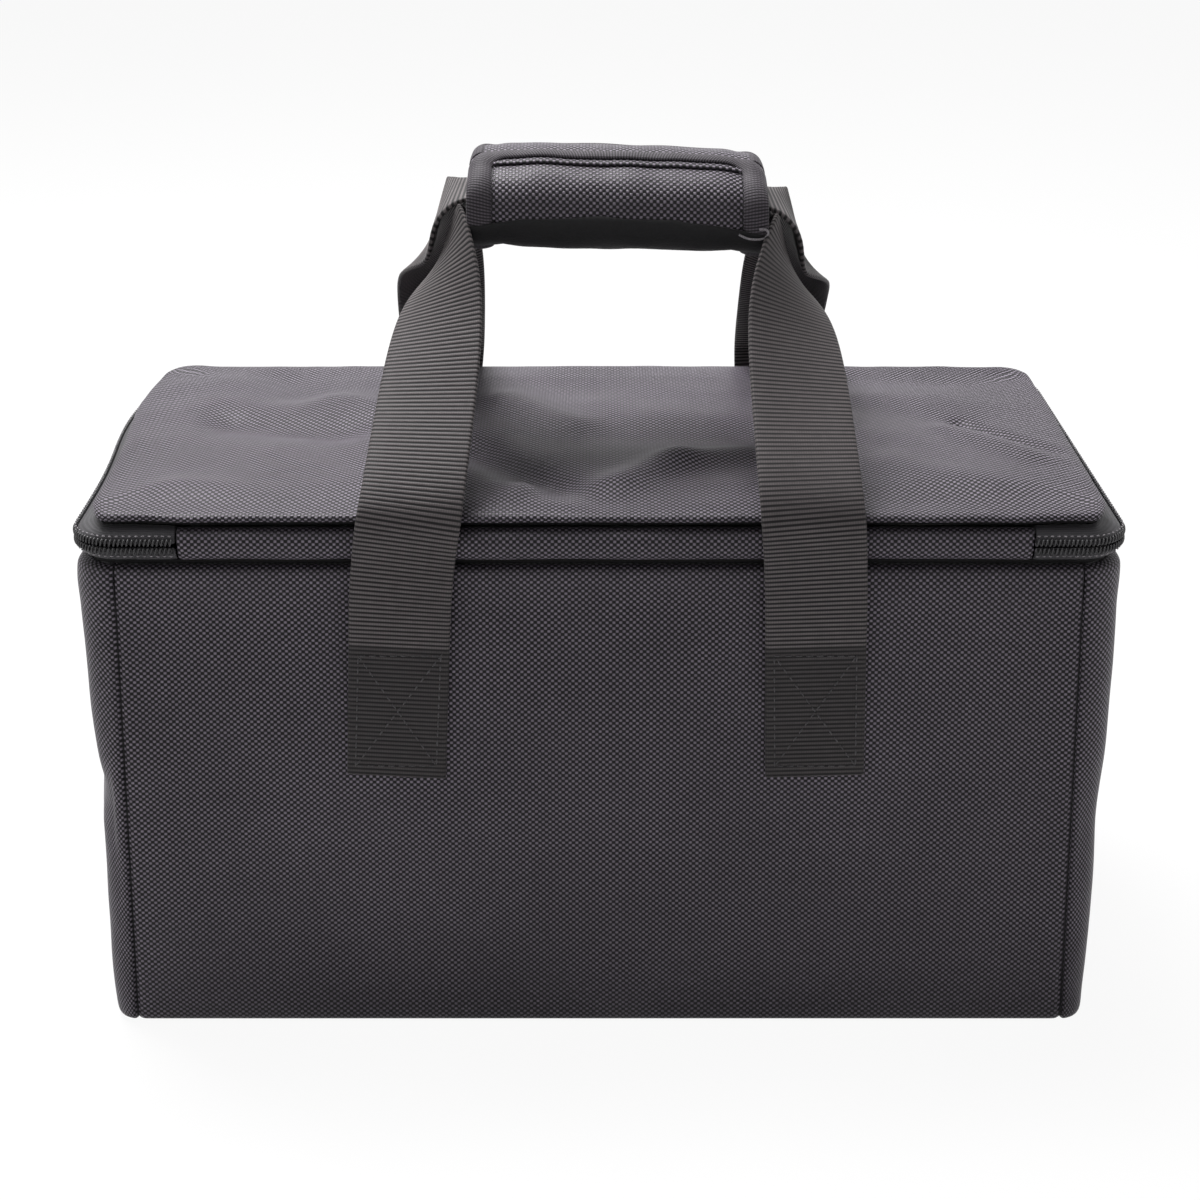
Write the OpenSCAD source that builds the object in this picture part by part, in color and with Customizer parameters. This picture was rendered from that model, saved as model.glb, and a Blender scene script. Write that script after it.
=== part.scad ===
// Padded box bag that carries and charges model batteries: a four-walled body with a
// full lid on a fabric hinge, a zip round the other three sides and two webbing handles
// whose padded grip halves close round each other.
// Origin: centre of the flat base.  +X: along the length.  -Y: hinge side.  +Z: up.

/* [Bag] */
// Length over the end panels
bag_l = 260; // [216:1:340]
// Width over the side panels
bag_w = 130; // [108:1:180]
// Height of the walls, up to the lower seam of the zip band
wall_h = 132; // [110:1:190]
// Radius of the four upright corners
corner_r = 11; // [9:0.5:16]

/* [Walls] */
// Thickness of the woven outer skin
skin_t = 1; // [0.8:0.1:1.2]
// Thickness of the foam board in each wall
foam_t = 4; // [3:0.5:6]
// Thickness of the stiff board in the base
board_t = 4; // [3:0.5:6]
// Thickness of the fire-resistant lining
lining_t = 0.8; // [0.6:0.1:1]
// Room between one layer and the next
layer_gap = 0.2; // [0.1:0.05:0.3]

/* [Zip band] */
// Height of the band that the zip and the hinge gusset run in
band_h = 10; // [9:0.5:13]
// Thickness of the zip tape
tape_t = 0.8; // [0.6:0.1:1]
// Radius of each row of zip coil
coil_r = 0.75; // [0.6:0.05:0.9]
// Height between the two rows of coil
coil_gap = 0.7; // [0.6:0.1:1]
// Length of the fabric hinge gusset
gusset_l = 208; // [150:1:212]
// How far the gusset's middle lies from the bag's middle
gusset_x = 1.5; // [-2:0.5:2]

/* [Lid] */
// Height that the lid's middle stands above its seam
crown_h = 4; // [3:0.5:8]
// Distance over which the lid's edge rises to that height
crown_run = 14; // [10:1:30]

/* [Webbing] */
// Width of the webbing
strap_w = 25; // [20:1:30]
// Thickness of the webbing
strap_t = 1.5; // [1.2:0.1:2]
// Height of the webbing's sewn end above the base
sewn_z = 75; // [40:1:80]
// Length of webbing that is sewn to the wall
sewn_h = 36; // [28:1:36]
// Distance between the two legs of a handle, at their sewn ends
leg_span = 106; // [96:1:118]
// How far the middle of the two sewn ends lies from the bag's middle
leg_x = 1.6; // [-3:0.1:3]
// Room between the wall and the free webbing on the hinge side
near_room = 1.7; // [1.5:0.1:3]

/* [Grip] */
// Length of the padded grip
grip_l = 76; // [60:1:92]
// Thickness of the padding before and behind the webbing
grip_pad = 2; // [1.5:0.1:5]
// Height of the padded grip below its closing flap
grip_h = 24; // [22:1:28]
// Radius of the grip's long edges
grip_r = 9; // [7:0.5:10]
// Height of the grip's underside above the lid seam
grip_lift = 55; // [48:1:70]
// How far the grip's middle lies from the bag's middle
grip_x = 4.6; // [-5:0.1:5]
// Width of the binding at each end of the grip
binding_w = 6.5; // [5:0.5:8]
// Thickness of the closing flap
flap_t = 1.8; // [1.4:0.1:2.5]
// Thickness of each half of the hook-and-loop closure
closure_t = 0.6; // [0.5:0.1:0.8]

/* [Sliders] */
// Length of a zip slider along the zip
slider_l = 9; // [8:0.5:11]
// Distance between the middles of the two sliders when the zip is closed
slider_span = 15; // [14:1:20]
// Thickness of a slider's plates
slider_t = 1.2; // [1:0.1:1.4]
// Length of a pull tab
tab_l = 18; // [14:1:20]
// Width of a pull tab
tab_w = 6; // [5:0.5:6]
// Thickness of a pull tab
tab_t = 1.2; // [1:0.1:1.3]

/* [Hidden] */
$fn = 48;
HULL_FN = 32;          // facets of a circle that goes into a hull

seat = 0.3;            // clearance where one piece sits on another
seam_gap = 0.2;        // room between two panels that are sewn edge to edge
half_l = bag_l / 2;
half_w = bag_w / 2;

// Heights, from the base up
skin_z = skin_t + layer_gap;                    // underside of the walls and of the board
foam_z = skin_z + board_t + layer_gap;          // underside of the wall foam
rim_drop = 1;                                   // the foam and the lining end this far below the rim
seam_z = wall_h + band_h;                       // seam of the lid
zip_z = wall_h + band_h / 2;                    // middle of the zip

// Insets from the outline of the bag
foam_in = skin_t + layer_gap;
lining_in = foam_in + foam_t + layer_gap;
cavity_in = lining_in + lining_t;
tape_in = 0.2;                                  // the tape lies this far inside the outline
coil_in = tape_in - 0.05 - coil_r;              // middle of a row of coil
lid_in = tape_in + tape_t + 0.6;                // edge of the lid's foam and lining
coil_dz = coil_gap / 2 + coil_r;                // a row of coil above or below the zip's middle
gusset_end = gusset_l / 2 + seat;               // half the length that the zip leaves free

// Webbing
hug_y = half_w + layer_gap + strap_t / 2;       // middle of the sewn webbing
slider_out = coil_r - coil_in + 0.15;           // inside of a slider's front plate, from the wall
bail_r = 0.5;                                   // wire that the pull tab turns on
eye_r = 1.1;                                    // knuckle at the pull tab's root
eye_half = 1.1;                                 // half its height
bail_out = slider_out + slider_t + eye_r + 0.2; // middle of that wire, from the wall
near_bow_y = half_w + near_room + strap_t / 2;
far_bow_y = half_w + bail_out + eye_r + 0.8 + strap_t / 2;
fold_z = sewn_z + sewn_h;                       // the handles fold outward here
fold_gap = 0.6;                                 // room that the fold takes
neck_f = 0.15;                                  // share of the leg's lean that its sewn end has

// Grip
grip_z = seam_z + grip_lift;                    // underside
cover_t = 1;
roll_dy = 2;                                    // each ribbon's middle, off the grip's middle
slot_half = roll_dy + strap_w / 2 + seat;       // half depth of the slot that the ribbons lie in
grip_d = 2 * (slot_half + grip_pad + layer_gap + cover_t);
near_roll_z = grip_z + 8.5;                     // middle of the lower ribbon, in the grip
far_roll_z = near_roll_z + strap_t + 2.1;       // middle of the upper ribbon
near_bend_r = 7;
far_bend_r = near_bend_r + 4;
neck_out = strap_w / 4;                         // the turned ribbon clears the end of the grip by this
near_neck = grip_l / 2 + neck_out;
far_neck = near_neck + 5;
near_neck_z = near_roll_z - near_bend_r;
far_neck_z = far_roll_z - far_bend_r;
split_gap = 0.2;                                // each half of the grip ends this far from the middle
flap_y = grip_d / 2 - 6;                        // the closing flap's root, off the grip's middle
closure_y0 = 1.5;
closure_y1 = grip_d / 2 - 7;

// ---- outlines ----

// Rectangle with round corners, centred on the origin
module round_rect(l, w, r) {
    square([l - 2 * r, w], center = true);
    square([l, w - 2 * r], center = true);
    for (x = [-1, 1], y = [-1, 1])
        translate([x * (l / 2 - r), y * (w / 2 - r)])
            circle(r);
}

// The bag's outline from above, drawn in by some distance
module plan(inset) {
    round_rect(bag_l - 2 * inset, bag_w - 2 * inset, corner_r - inset);
}

module wall_ring(outer_in, inner_in) {
    difference() {
        plan(outer_in);
        plan(inner_in);
    }
}

// Everything on the hinge side between the two ends of the zip
module gusset_zone(l) {
    translate([gusset_x - l, -half_w - 5])
        square([2 * l, 5 + corner_r]);
}

module slab(z0, z1) {
    translate([0, 0, z0])
        linear_extrude(z1 - z0)
            children();
}

// ---- body ----

module side_panel(side) {
    y = side * (half_w - skin_t / 2);
    l = bag_l - 2 * corner_r - 2 * seam_gap;
    slab(skin_z, wall_h)
        translate([0, y])
            square([l, skin_t], center = true);
}

module end_panel(side) {
    slab(skin_z, wall_h)
        intersection() {
            wall_ring(0, skin_t);
            translate([side * half_l, 0])
                square([2 * corner_r, bag_w], center = true);
        }
}

module side_foam(side) {
    y = side * (half_w - foam_in - foam_t / 2);
    slab(foam_z, wall_h - rim_drop)
        intersection() {
            plan(foam_in);
            translate([0, y])
                square([bag_l, foam_t], center = true);
        }
}

module end_foam(side) {
    x = side * (half_l - foam_in - foam_t / 2);
    w = bag_w - 2 * (foam_in + foam_t + layer_gap);
    slab(foam_z, wall_h - rim_drop)
        intersection() {
            plan(foam_in);
            translate([x, 0])
                square([foam_t, w], center = true);
        }
}

module hinge_side_panel() {
    color("#3f3d40") side_panel(-1);
}

module zip_side_panel() {
    color("#3f3d40") side_panel(1);
}

module left_end_panel() {
    color("#3a383b") end_panel(-1);
}

module right_end_panel() {
    color("#3a383b") end_panel(1);
}

module base_panel() {
    color("#333134") slab(0, skin_t) plan(skin_t);
}

module hinge_side_foam() {
    color("#d9d7d2") side_foam(-1);
}

module zip_side_foam() {
    color("#d9d7d2") side_foam(1);
}

module left_end_foam() {
    color("#d9d7d2") end_foam(-1);
}

module right_end_foam() {
    color("#d9d7d2") end_foam(1);
}

module base_board() {
    color("#b9b3a6") slab(skin_z, skin_z + board_t) plan(foam_in);
}

module body_lining() {
    color("#a9abad") {
        slab(foam_z, foam_z + lining_t) plan(lining_in);
        slab(foam_z, wall_h - rim_drop) wall_ring(lining_in, cavity_in);
    }
}

module rim_binding() {
    color("#1c1b1d") slab(wall_h - rim_drop + layer_gap, wall_h + layer_gap) wall_ring(foam_in, cavity_in);
}

// ---- zip band ----

module gusset(z0, z1) {
    slab(z0, z1)
        translate([gusset_x, -half_w + skin_t / 2])
            square([gusset_l, skin_t], center = true);
}

module zip_tape(z0, z1) {
    slab(z0, z1)
        difference() {
            wall_ring(tape_in, tape_in + tape_t);
            gusset_zone(gusset_end);
        }
}

// One row of coil, as the round rod that its turns fill
module coil_row(z) {
    bend_r = corner_r - coil_in;
    run_l = bag_l - 2 * corner_r;
    run_w = bag_w - 2 * corner_r;
    stub = run_l / 2 - gusset_end;
    translate([0, 0, z]) {
        for (side = [-1, 1]) {
            translate([side * (half_l - coil_in), run_w / 2, 0])
                rotate([90, 0, 0])
                    cylinder(run_w, r = coil_r);
            near_l = stub - side * gusset_x;
            translate([side * run_l / 2 - (side > 0 ? near_l : 0), -half_w + coil_in, 0])
                rotate([0, 90, 0])
                    cylinder(near_l, r = coil_r);
            for (end = [-1, 1])
                translate([side * run_l / 2, end * run_w / 2, 0])
                    rotate([0, 0, atan2(end, side) - 45])
                        rotate_extrude(angle = 90)
                            translate([bend_r, 0])
                                circle(coil_r);
        }
        translate([-run_l / 2, half_w - coil_in, 0])
            rotate([0, 90, 0])
                cylinder(run_l, r = coil_r);
    }
}

module lower_gusset() {
    color("#454346") gusset(wall_h + layer_gap, zip_z - seat);
}

module upper_gusset() {
    color("#454346") gusset(zip_z + seat, seam_z - layer_gap);
}

module lower_zip_tape() {
    color("#232225") zip_tape(wall_h + layer_gap, zip_z - coil_gap / 2 - 0.05);
}

module upper_zip_tape() {
    color("#232225") zip_tape(zip_z + coil_gap / 2 + 0.05, seam_z - layer_gap);
}

module lower_zip_coil() {
    color("#151416") coil_row(zip_z - coil_dz);
}

module upper_zip_coil() {
    color("#151416") coil_row(zip_z + coil_dz);
}

// ---- lid ----

// Crowned block, drawn in by some distance all round and above
module crown(inset, z0) {
    top = seam_z + crown_h - inset;
    hull() {
        slab(z0, z0 + 0.4)
            plan(inset + 0.4, $fn = HULL_FN);
        slab(top - 0.2, top)
            round_rect(bag_l - 2 * crown_run, bag_w - 2 * crown_run, corner_r, $fn = HULL_FN);
    }
}

module lid_panel() {
    color("#6b656b")
        difference() {
            crown(0, seam_z);
            crown(skin_t, seam_z - 0.1);
        }
}

module lid_foam() {
    color("#d9d7d2") {
        slab(zip_z + lining_t + 2 * layer_gap + seat, seam_z - layer_gap) plan(lid_in);
        crown(skin_t + layer_gap, seam_z - 2 * layer_gap);
    }
}

module lid_lining() {
    color("#a9abad") slab(zip_z + layer_gap + seat, zip_z + layer_gap + seat + lining_t) plan(cavity_in);
}

// Tape that covers the raw edge of the lid's lining
module lid_binding() {
    color("#1c1b1d")
        slab(zip_z + layer_gap + seat, zip_z + layer_gap + seat + lining_t)
            wall_ring(lid_in, cavity_in - layer_gap);
}

// ---- webbing ----

function unit(v) = v / norm(v);
function mix(a, b, f) = a + (b - a) * f;

// Point on a smooth curve through p1 and p2, which p0 and p3 steer
function glide(p0, p1, p2, p3, f) =
    let (a = 2 * p1, b = p2 - p0, c = 2 * p0 - 5 * p1 + 4 * p2 - p3, d = 3 * (p1 - p2) + p3 - p0)
    (a + b * f + c * f * f + d * f * f * f) / 2;

// Steps along a smooth curve through some keys
function smooth(keys, steps) = [
    for (i = [0:len(keys) - 2], s = [0:steps - 1])
        glide(keys[max(i - 1, 0)], keys[i], keys[i + 1], keys[min(i + 2, len(keys) - 1)], s / steps),
    keys[len(keys) - 1]
];

// x of a leg, from its sewn end at 0 to its neck beside the grip at 1
function leg_at(side, neck, f) = mix(leg_x + side * leg_span / 2, grip_x + side * neck, f);

// Keys of one leg: x, y, z and the turn of its width from along X to along Y
function leg_keys(side, neck, bow_y, neck_z) =
    let (lean_z = seam_z + 8, neck_y = roll_dy + 3)
    [
        [leg_at(side, neck, neck_f), -hug_y, fold_z + fold_gap, 0],
        [leg_at(side, neck, 0.20), -mix(hug_y, bow_y, 0.7), mix(fold_z, wall_h, 0.55), 0],
        [leg_at(side, neck, 0.30), -bow_y, wall_h + 3, 0],
        [leg_at(side, neck, 0.46), -bow_y, lean_z - 2, 0],
        [leg_at(side, neck, 0.70), -mix(bow_y, neck_y, 0.42), mix(lean_z, neck_z, 0.42), 17],
        [leg_at(side, neck, 0.83), -mix(bow_y, neck_y, 0.67), mix(lean_z, neck_z, 0.68), 40],
        [leg_at(side, neck, 0.94), -mix(bow_y, neck_y, 0.88), mix(lean_z, neck_z, 0.90), 74],
        [leg_at(side, neck, 1.00), -neck_y, neck_z, 90]
    ];

// Quarter turn from the neck into the grip
function bend_keys(side, neck, bend_r, neck_z) = [
    for (a = [15:15:90])
        [leg_at(side, neck, 1) - side * bend_r * (1 - cos(a)), -mix(roll_dy + 3, roll_dy, min(1, a / 45)),
         neck_z + bend_r * sin(a), 90]
];

function reversed(v) = [for (i = [len(v) - 1:-1:0]) v[i]];

// Width direction at a point, square to the way that the ribbon runs there
function width_dir(points, i, side) =
    let (n = len(points) - 1, a = points[max(i - 1, 0)], b = points[min(i + 1, n)],
         t = unit([b.x - a.x, b.y - a.y, b.z - a.z]),
         turn = points[i][3], w = [side * cos(turn), sin(turn), 0])
    unit(w - t * (w * t));

function run_dir(points, i) =
    let (n = len(points) - 1, a = points[max(i - 1, 0)], b = points[min(i + 1, n)])
    unit([b.x - a.x, b.y - a.y, b.z - a.z]);

// Flat ribbon along points of x, y, z and turn, its left part first
module ribbon(points, left_count) {
    rings = [
        for (i = [0:len(points) - 1])
            let (side = i < left_count ? -1 : 1, c = [points[i].x, points[i].y, points[i].z],
                 w = width_dir(points, i, side) * strap_w / 2,
                 n = unit(cross(run_dir(points, i), w)) * strap_t / 2)
            each [c - w - n, c + w - n, c + w + n, c - w + n]
    ];
    last = len(points) - 1;
    faces = [
        [0, 1, 2, 3],
        for (i = [0:last - 1], k = [0:3])
            let (a = 4 * i + k, b = 4 * i + (k + 1) % 4)
            each [[a, a + 4, b + 4], [a, b + 4, b]],
        [4 * last + 3, 4 * last + 2, 4 * last + 1, 4 * last]
    ];
    polyhedron(rings, faces);
}

// One handle's webbing, from the fold on one leg over the grip to the fold on the other
module handle_webbing(neck, bend_r, bow_y, neck_z) {
    legs = [
        for (side = [-1, 1])
            concat(smooth(leg_keys(side, neck, bow_y, neck_z), 4), bend_keys(side, neck, bend_r, neck_z))
    ];
    ribbon(concat(legs[0], reversed(legs[1])), len(legs[0]));
}

// The two sewn ends of one handle's webbing
module sewn_tails(neck) {
    for (side = [-1, 1])
        ribbon([
            [leg_at(side, neck, 0), -hug_y, sewn_z, 0],
            [leg_at(side, neck, neck_f), -hug_y, fold_z, 0]
        ], side < 0 ? 2 : 0);
}

module near_strap_tails() {
    color("#2f2e30") sewn_tails(near_neck);
}

module far_strap_tails() {
    color("#2f2e30") mirror([0, 1, 0]) sewn_tails(far_neck);
}

module near_strap() {
    color("#5d5859") handle_webbing(near_neck, near_bend_r, near_bow_y, near_neck_z);
}

module far_strap() {
    color("#5d5859") mirror([0, 1, 0]) handle_webbing(far_neck, far_bend_r, far_bow_y, far_neck_z);
}

// ---- grip ----

// Lays a profile, drawn with x as depth and y as height above the grip's underside, along the grip
module along_grip(l) {
    translate([grip_x - l / 2, 0, grip_z])
        rotate([90, 0, 90])
            linear_extrude(l)
                children();
}

// The grip's outline, drawn in by some distance
module grip_profile(inset) {
    translate([0, grip_h / 2])
        round_rect(grip_d - 2 * inset, grip_h - 2 * inset, grip_r - inset);
}

// Everything on the far side of the grip's middle for side -1, and on the near side for 1
module other_half(side) {
    translate([side > 0 ? split_gap - 2 * grip_d : -split_gap, -grip_h])
        square([2 * grip_d, 3 * grip_h]);
}

// Padding of one half, side -1 near and 1 far, with the slot that the ribbons lie in
module grip_padding(side, slot) {
    along_grip(grip_l - 2 * skin_t)
        difference() {
            grip_profile(cover_t + layer_gap);
            other_half(side);
            translate([-slot_half, slot[0]])
                square([2 * slot_half, slot[1] - slot[0]]);
        }
}

// Woven cover of one half
module grip_skin(side) {
    along_grip(grip_l)
        difference() {
            grip_profile(0);
            grip_profile(cover_t);
            other_half(side);
        }
}

// The slots' floors and roofs above the grip's underside. Each half grips its own ribbon.
near_slot = [near_roll_z - strap_t / 2 - seat - grip_z, far_roll_z + strap_t / 2 + 1.2 - grip_z];
far_slot = [near_roll_z - strap_t / 2 - 0.8 - grip_z, far_roll_z + strap_t / 2 + seat - grip_z];

module near_grip_foam() {
    color("#c9c7c2") grip_padding(-1, near_slot);
}

module far_grip_foam() {
    color("#c9c7c2") grip_padding(1, far_slot);
}

module near_grip_cover() {
    color("#757077") grip_skin(-1);
}

module far_grip_cover() {
    color("#757077") grip_skin(1);
}

// Tape bound round one half's two ends, standing proud of the cover
module end_bindings(side) {
    proud = 0.6;
    for (end = [-1, 1])
        translate([end * (grip_l - binding_w) / 2, 0, 0])
            along_grip(binding_w)
                difference() {
                    grip_profile(-proud - layer_gap);
                    grip_profile(-layer_gap);
                    other_half(side);
                    translate([-flap_y - 1, grip_h / 2])
                        square([2 * flap_y + 2, grip_h]);
                }
}

module near_grip_binding() {
    color("#4c484c") end_bindings(-1);
}

module far_grip_binding() {
    color("#4c484c") end_bindings(1);
}

// Closing flap: its root lies on the near half and its free part over the closure
module grip_flap() {
    root_z = grip_h + layer_gap;
    free_z = grip_h + 2 * closure_t + 3 * layer_gap;
    color("#757077")
        along_grip(grip_l)
            polygon([
                [-flap_y, root_z],
                [-2, root_z],
                [0, free_z],
                [flap_y, free_z],
                [flap_y, free_z + flap_t],
                [-1, free_z + flap_t],
                [-flap_y, root_z + flap_t]
            ]);
}

module hook_strip() {
    color("#111112")
        along_grip(grip_l - 2 * binding_w)
            translate([closure_y0, grip_h + closure_t + 2 * layer_gap])
                square([closure_y1 - closure_y0, closure_t]);
}

module loop_strip() {
    color("#1b1b1d")
        along_grip(grip_l - 2 * binding_w)
            translate([split_gap, grip_h + layer_gap])
                square([closure_y1 - split_gap, closure_t]);
}

// ---- sliders ----

// A slider on the zip side at the middle of the zip. It holds the lower row of coil alone, so
// that the upper row lifts out of it with the lid.
module slider_body() {
    plate_h = band_h - 1.6;
    nose_l = slider_l / 3;
    back_t = 0.8;
    back_in = tape_in + tape_t + 0.15;
    bridge_t = coil_gap - 0.3;
    post_z = eye_half + 0.2 + bail_r;
    front_y = half_w + slider_out;
    translate([-slider_l / 2, front_y, zip_z - plate_h / 2])
        cube([slider_l, slider_t, plate_h]);
    translate([-slider_l / 2, half_w - back_in - back_t, wall_h + 0.8])
        cube([slider_l, back_t, band_h / 2 - 0.8 + bridge_t / 2]);
    translate([-slider_l / 2, half_w - back_in - back_t, zip_z - bridge_t / 2])
        cube([nose_l, back_in + back_t + slider_out + 0.1, bridge_t]);
    for (z = [-1, 1])
        translate([-bail_r, front_y + slider_t - 0.1, zip_z + z * post_z - bail_r])
            cube([2 * bail_r, eye_r + 0.3 + bail_r, 2 * bail_r]);
    translate([0, half_w + bail_out, zip_z - post_z])
        cylinder(2 * post_z, r = bail_r);
}

// A pull tab that lies flat, with its knuckle round the slider's bail
module tab_body() {
    reach = tab_l - tab_w / 2;
    root = eye_r + 0.6;
    translate([0, half_w + bail_out, zip_z])
        difference() {
            union() {
                translate([0, 0, -eye_half])
                    cylinder(2 * eye_half, r = eye_r);
                translate([0, -tab_t / 2, -eye_half])
                    cube([root + 1, tab_t, 2 * eye_half]);
                rotate([90, 0, 0])
                    translate([0, 0, -tab_t / 2])
                        linear_extrude(tab_t)
                            difference() {
                                union() {
                                    translate([root, -tab_w / 2])
                                        square([reach - root, tab_w]);
                                    translate([reach, 0])
                                        circle(tab_w / 2);
                                }
                                translate([reach - 0.5, 0])
                                    circle(tab_w / 5);
                            }
            }
            translate([0, 0, -tab_w])
                cylinder(2 * tab_w, r = bail_r + 0.15);
        }
}

module left_slider() {
    color("#2a2a2c") translate([-slider_span / 2, 0, 0]) mirror([1, 0, 0]) slider_body();
}

module right_slider() {
    color("#2a2a2c") translate([slider_span / 2, 0, 0]) slider_body();
}

module left_pull_tab() {
    color("#2a2a2c") translate([-slider_span / 2, 0, 0]) mirror([1, 0, 0]) tab_body();
}

module right_pull_tab() {
    color("#2a2a2c") translate([slider_span / 2, 0, 0]) tab_body();
}

hinge_side_panel();
zip_side_panel();
left_end_panel();
right_end_panel();
base_panel();
hinge_side_foam();
zip_side_foam();
left_end_foam();
right_end_foam();
base_board();
body_lining();
rim_binding();
lower_gusset();
lower_zip_tape();
lower_zip_coil();
near_strap_tails();
far_strap_tails();
left_slider();
left_pull_tab();
right_slider();
right_pull_tab();
lid_panel();
lid_foam();
lid_lining();
lid_binding();
upper_gusset();
upper_zip_tape();
upper_zip_coil();
near_strap();
near_grip_foam();
near_grip_cover();
near_grip_binding();
grip_flap();
hook_strip();
far_strap();
far_grip_foam();
far_grip_cover();
far_grip_binding();
loop_strip();
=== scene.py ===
"""Padded box bag for model batteries: its cloth, webbing, zip and lining, and the studio round it.

Every length in this file is in millimetres until grid_piece() turns it to metres.
"""

import logging
import math
from collections.abc import Callable, Sequence
from dataclasses import dataclass, field
from enum import Enum

import bmesh
import bpy
from mathutils import Matrix, Vector, noise


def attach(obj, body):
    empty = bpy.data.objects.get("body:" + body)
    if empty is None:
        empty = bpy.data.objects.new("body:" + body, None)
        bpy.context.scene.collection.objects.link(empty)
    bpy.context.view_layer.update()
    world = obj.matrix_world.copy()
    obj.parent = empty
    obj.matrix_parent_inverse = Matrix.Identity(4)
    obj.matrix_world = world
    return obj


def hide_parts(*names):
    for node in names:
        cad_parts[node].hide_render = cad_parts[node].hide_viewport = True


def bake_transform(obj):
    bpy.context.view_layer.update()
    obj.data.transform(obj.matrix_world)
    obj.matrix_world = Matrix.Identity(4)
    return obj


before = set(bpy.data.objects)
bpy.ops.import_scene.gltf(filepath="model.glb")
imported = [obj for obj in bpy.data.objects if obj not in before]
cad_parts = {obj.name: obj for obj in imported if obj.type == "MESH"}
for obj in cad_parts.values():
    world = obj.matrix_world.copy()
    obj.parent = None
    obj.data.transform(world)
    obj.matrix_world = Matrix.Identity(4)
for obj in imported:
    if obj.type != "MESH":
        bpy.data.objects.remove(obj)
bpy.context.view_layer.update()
LOG = logging.getLogger("bag")
MM = 0.001
CLOTH_UV = "cloth"

Spot = tuple[Vector, tuple[float, float]]
Key = tuple[float, float, float, float]


class Side(Enum):
    """Which long side of the bag a piece belongs to: the hinge side is near."""

    NEAR = -1
    FAR = 1


class Slot(Enum):
    """The record's material slots."""

    SKIN = "oxford_skin"
    FOAM = "foam_board"
    BOARD = "stiff_board"
    LINING = "fire_lining"
    BINDING = "binding_tape"
    TAPE = "zip_tape"
    COIL = "zip_coil"
    WEBBING = "webbing"
    METAL = "slider_metal"
    HOOK = "hook_and_loop"


# ---- numbers ----


def mix(a: float, b: float, f: float) -> float:
    """Value a share f of the way from a to b."""
    return a + (b - a) * f


def step(low: float, high: float, x: float) -> float:
    """Smooth rise from 0 at low to 1 at high."""
    f = min(1.0, max(0.0, (x - low) / (high - low)))
    return f * f * (3 - 2 * f)


def hill(x: float, width: float) -> float:
    """Rounded bump, 1 at 0 and nearly 0 at twice the width."""
    return math.exp(-((x / width) ** 2))


def soft_noise(x: float, y: float, z: float, size: float) -> float:
    """Smooth noise from about -1 to 1, with features of a size in millimetres."""
    return 2 * noise.noise(Vector((x / size, y / size, z / size)))


def glide(keys: Sequence[Key], steps: int) -> list[Key]:
    """Points along a smooth curve through some keys.

    Args:
        keys: The points, each of x, y, z and a turn.
        steps: Steps from one key to the next.

    Returns:
        The curve's points, keys among them.
    """
    points: list[Key] = []
    last = len(keys) - 1
    for i in range(last):
        p0, p1, p2, p3 = keys[max(i - 1, 0)], keys[i], keys[i + 1], keys[min(i + 2, last)]
        for s in range(steps):
            f = s / steps
            points.append(
                tuple(
                    (2 * b + (c - a) * f + (2 * a - 5 * b + 4 * c - d) * f**2
                     + (3 * (b - c) + d - a) * f**3) / 2
                    for a, b, c, d in zip(p0, p1, p2, p3)
                )
            )
    points.append(keys[last])
    return points


# ---- meshes ----


def link_mesh(name: str, bm: bmesh.types.BMesh) -> bpy.types.Object:
    """Turns a finished bmesh into an object in the scene.

    Args:
        name: The piece's name.
        bm: The bmesh, which is freed.

    Returns:
        The new object.
    """
    mesh = bpy.data.meshes.new(name)
    bm.to_mesh(mesh)
    bm.free()
    piece = bpy.data.objects.new(name, mesh)
    bpy.context.scene.collection.objects.link(piece)
    return piece


def grid_piece(
    name: str,
    columns: int,
    rows: int,
    place: Callable[[int, int], Spot],
    wrapped: bool = False,
    capped: bool = False,
    core: Vector | None = None,
) -> bpy.types.Object:
    """Bends a flat grid into a piece, with its cloth coordinates in metres.

    Args:
        name: The piece's name.
        columns: Faces along the grid's first direction.
        rows: Faces along its second direction.
        place: Gives the place and the cloth coordinates of a grid point, in millimetres.
        wrapped: Whether the grid's opposite edges meet and are merged.
        capped: Whether open ends are filled and the normals worked out anew.
        core: A point, in millimetres, that the faces of an open sheet look away from.

    Returns:
        The new object.
    """
    bm = bmesh.new()
    bmesh.ops.create_grid(bm, x_segments=columns, y_segments=rows, size=1)
    bm.verts.index_update()
    spots = [
        place(round((v.co.x + 1) / 2 * columns), round((v.co.y + 1) / 2 * rows))
        for v in bm.verts
    ]
    layer = bm.loops.layers.uv.new(CLOTH_UV)
    for face in bm.faces:
        face.smooth = True
        for loop in face.loops:
            u, v = spots[loop.vert.index][1]
            loop[layer].uv = (u * MM, v * MM)
    for vert in bm.verts:
        vert.co = spots[vert.index][0] * MM
    if wrapped:
        bmesh.ops.remove_doubles(bm, verts=bm.verts, dist=1e-6)
    if capped:
        bmesh.ops.holes_fill(bm, edges=bm.edges, sides=0)
        bmesh.ops.recalc_face_normals(bm, faces=bm.faces)
    elif core is not None:
        bm.normal_update()
        away = sum(f.normal.dot(f.calc_center_median() - core * MM) for f in bm.faces)
        if away < 0:
            bmesh.ops.reverse_faces(bm, faces=bm.faces)
    return link_mesh(name, bm)


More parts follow.
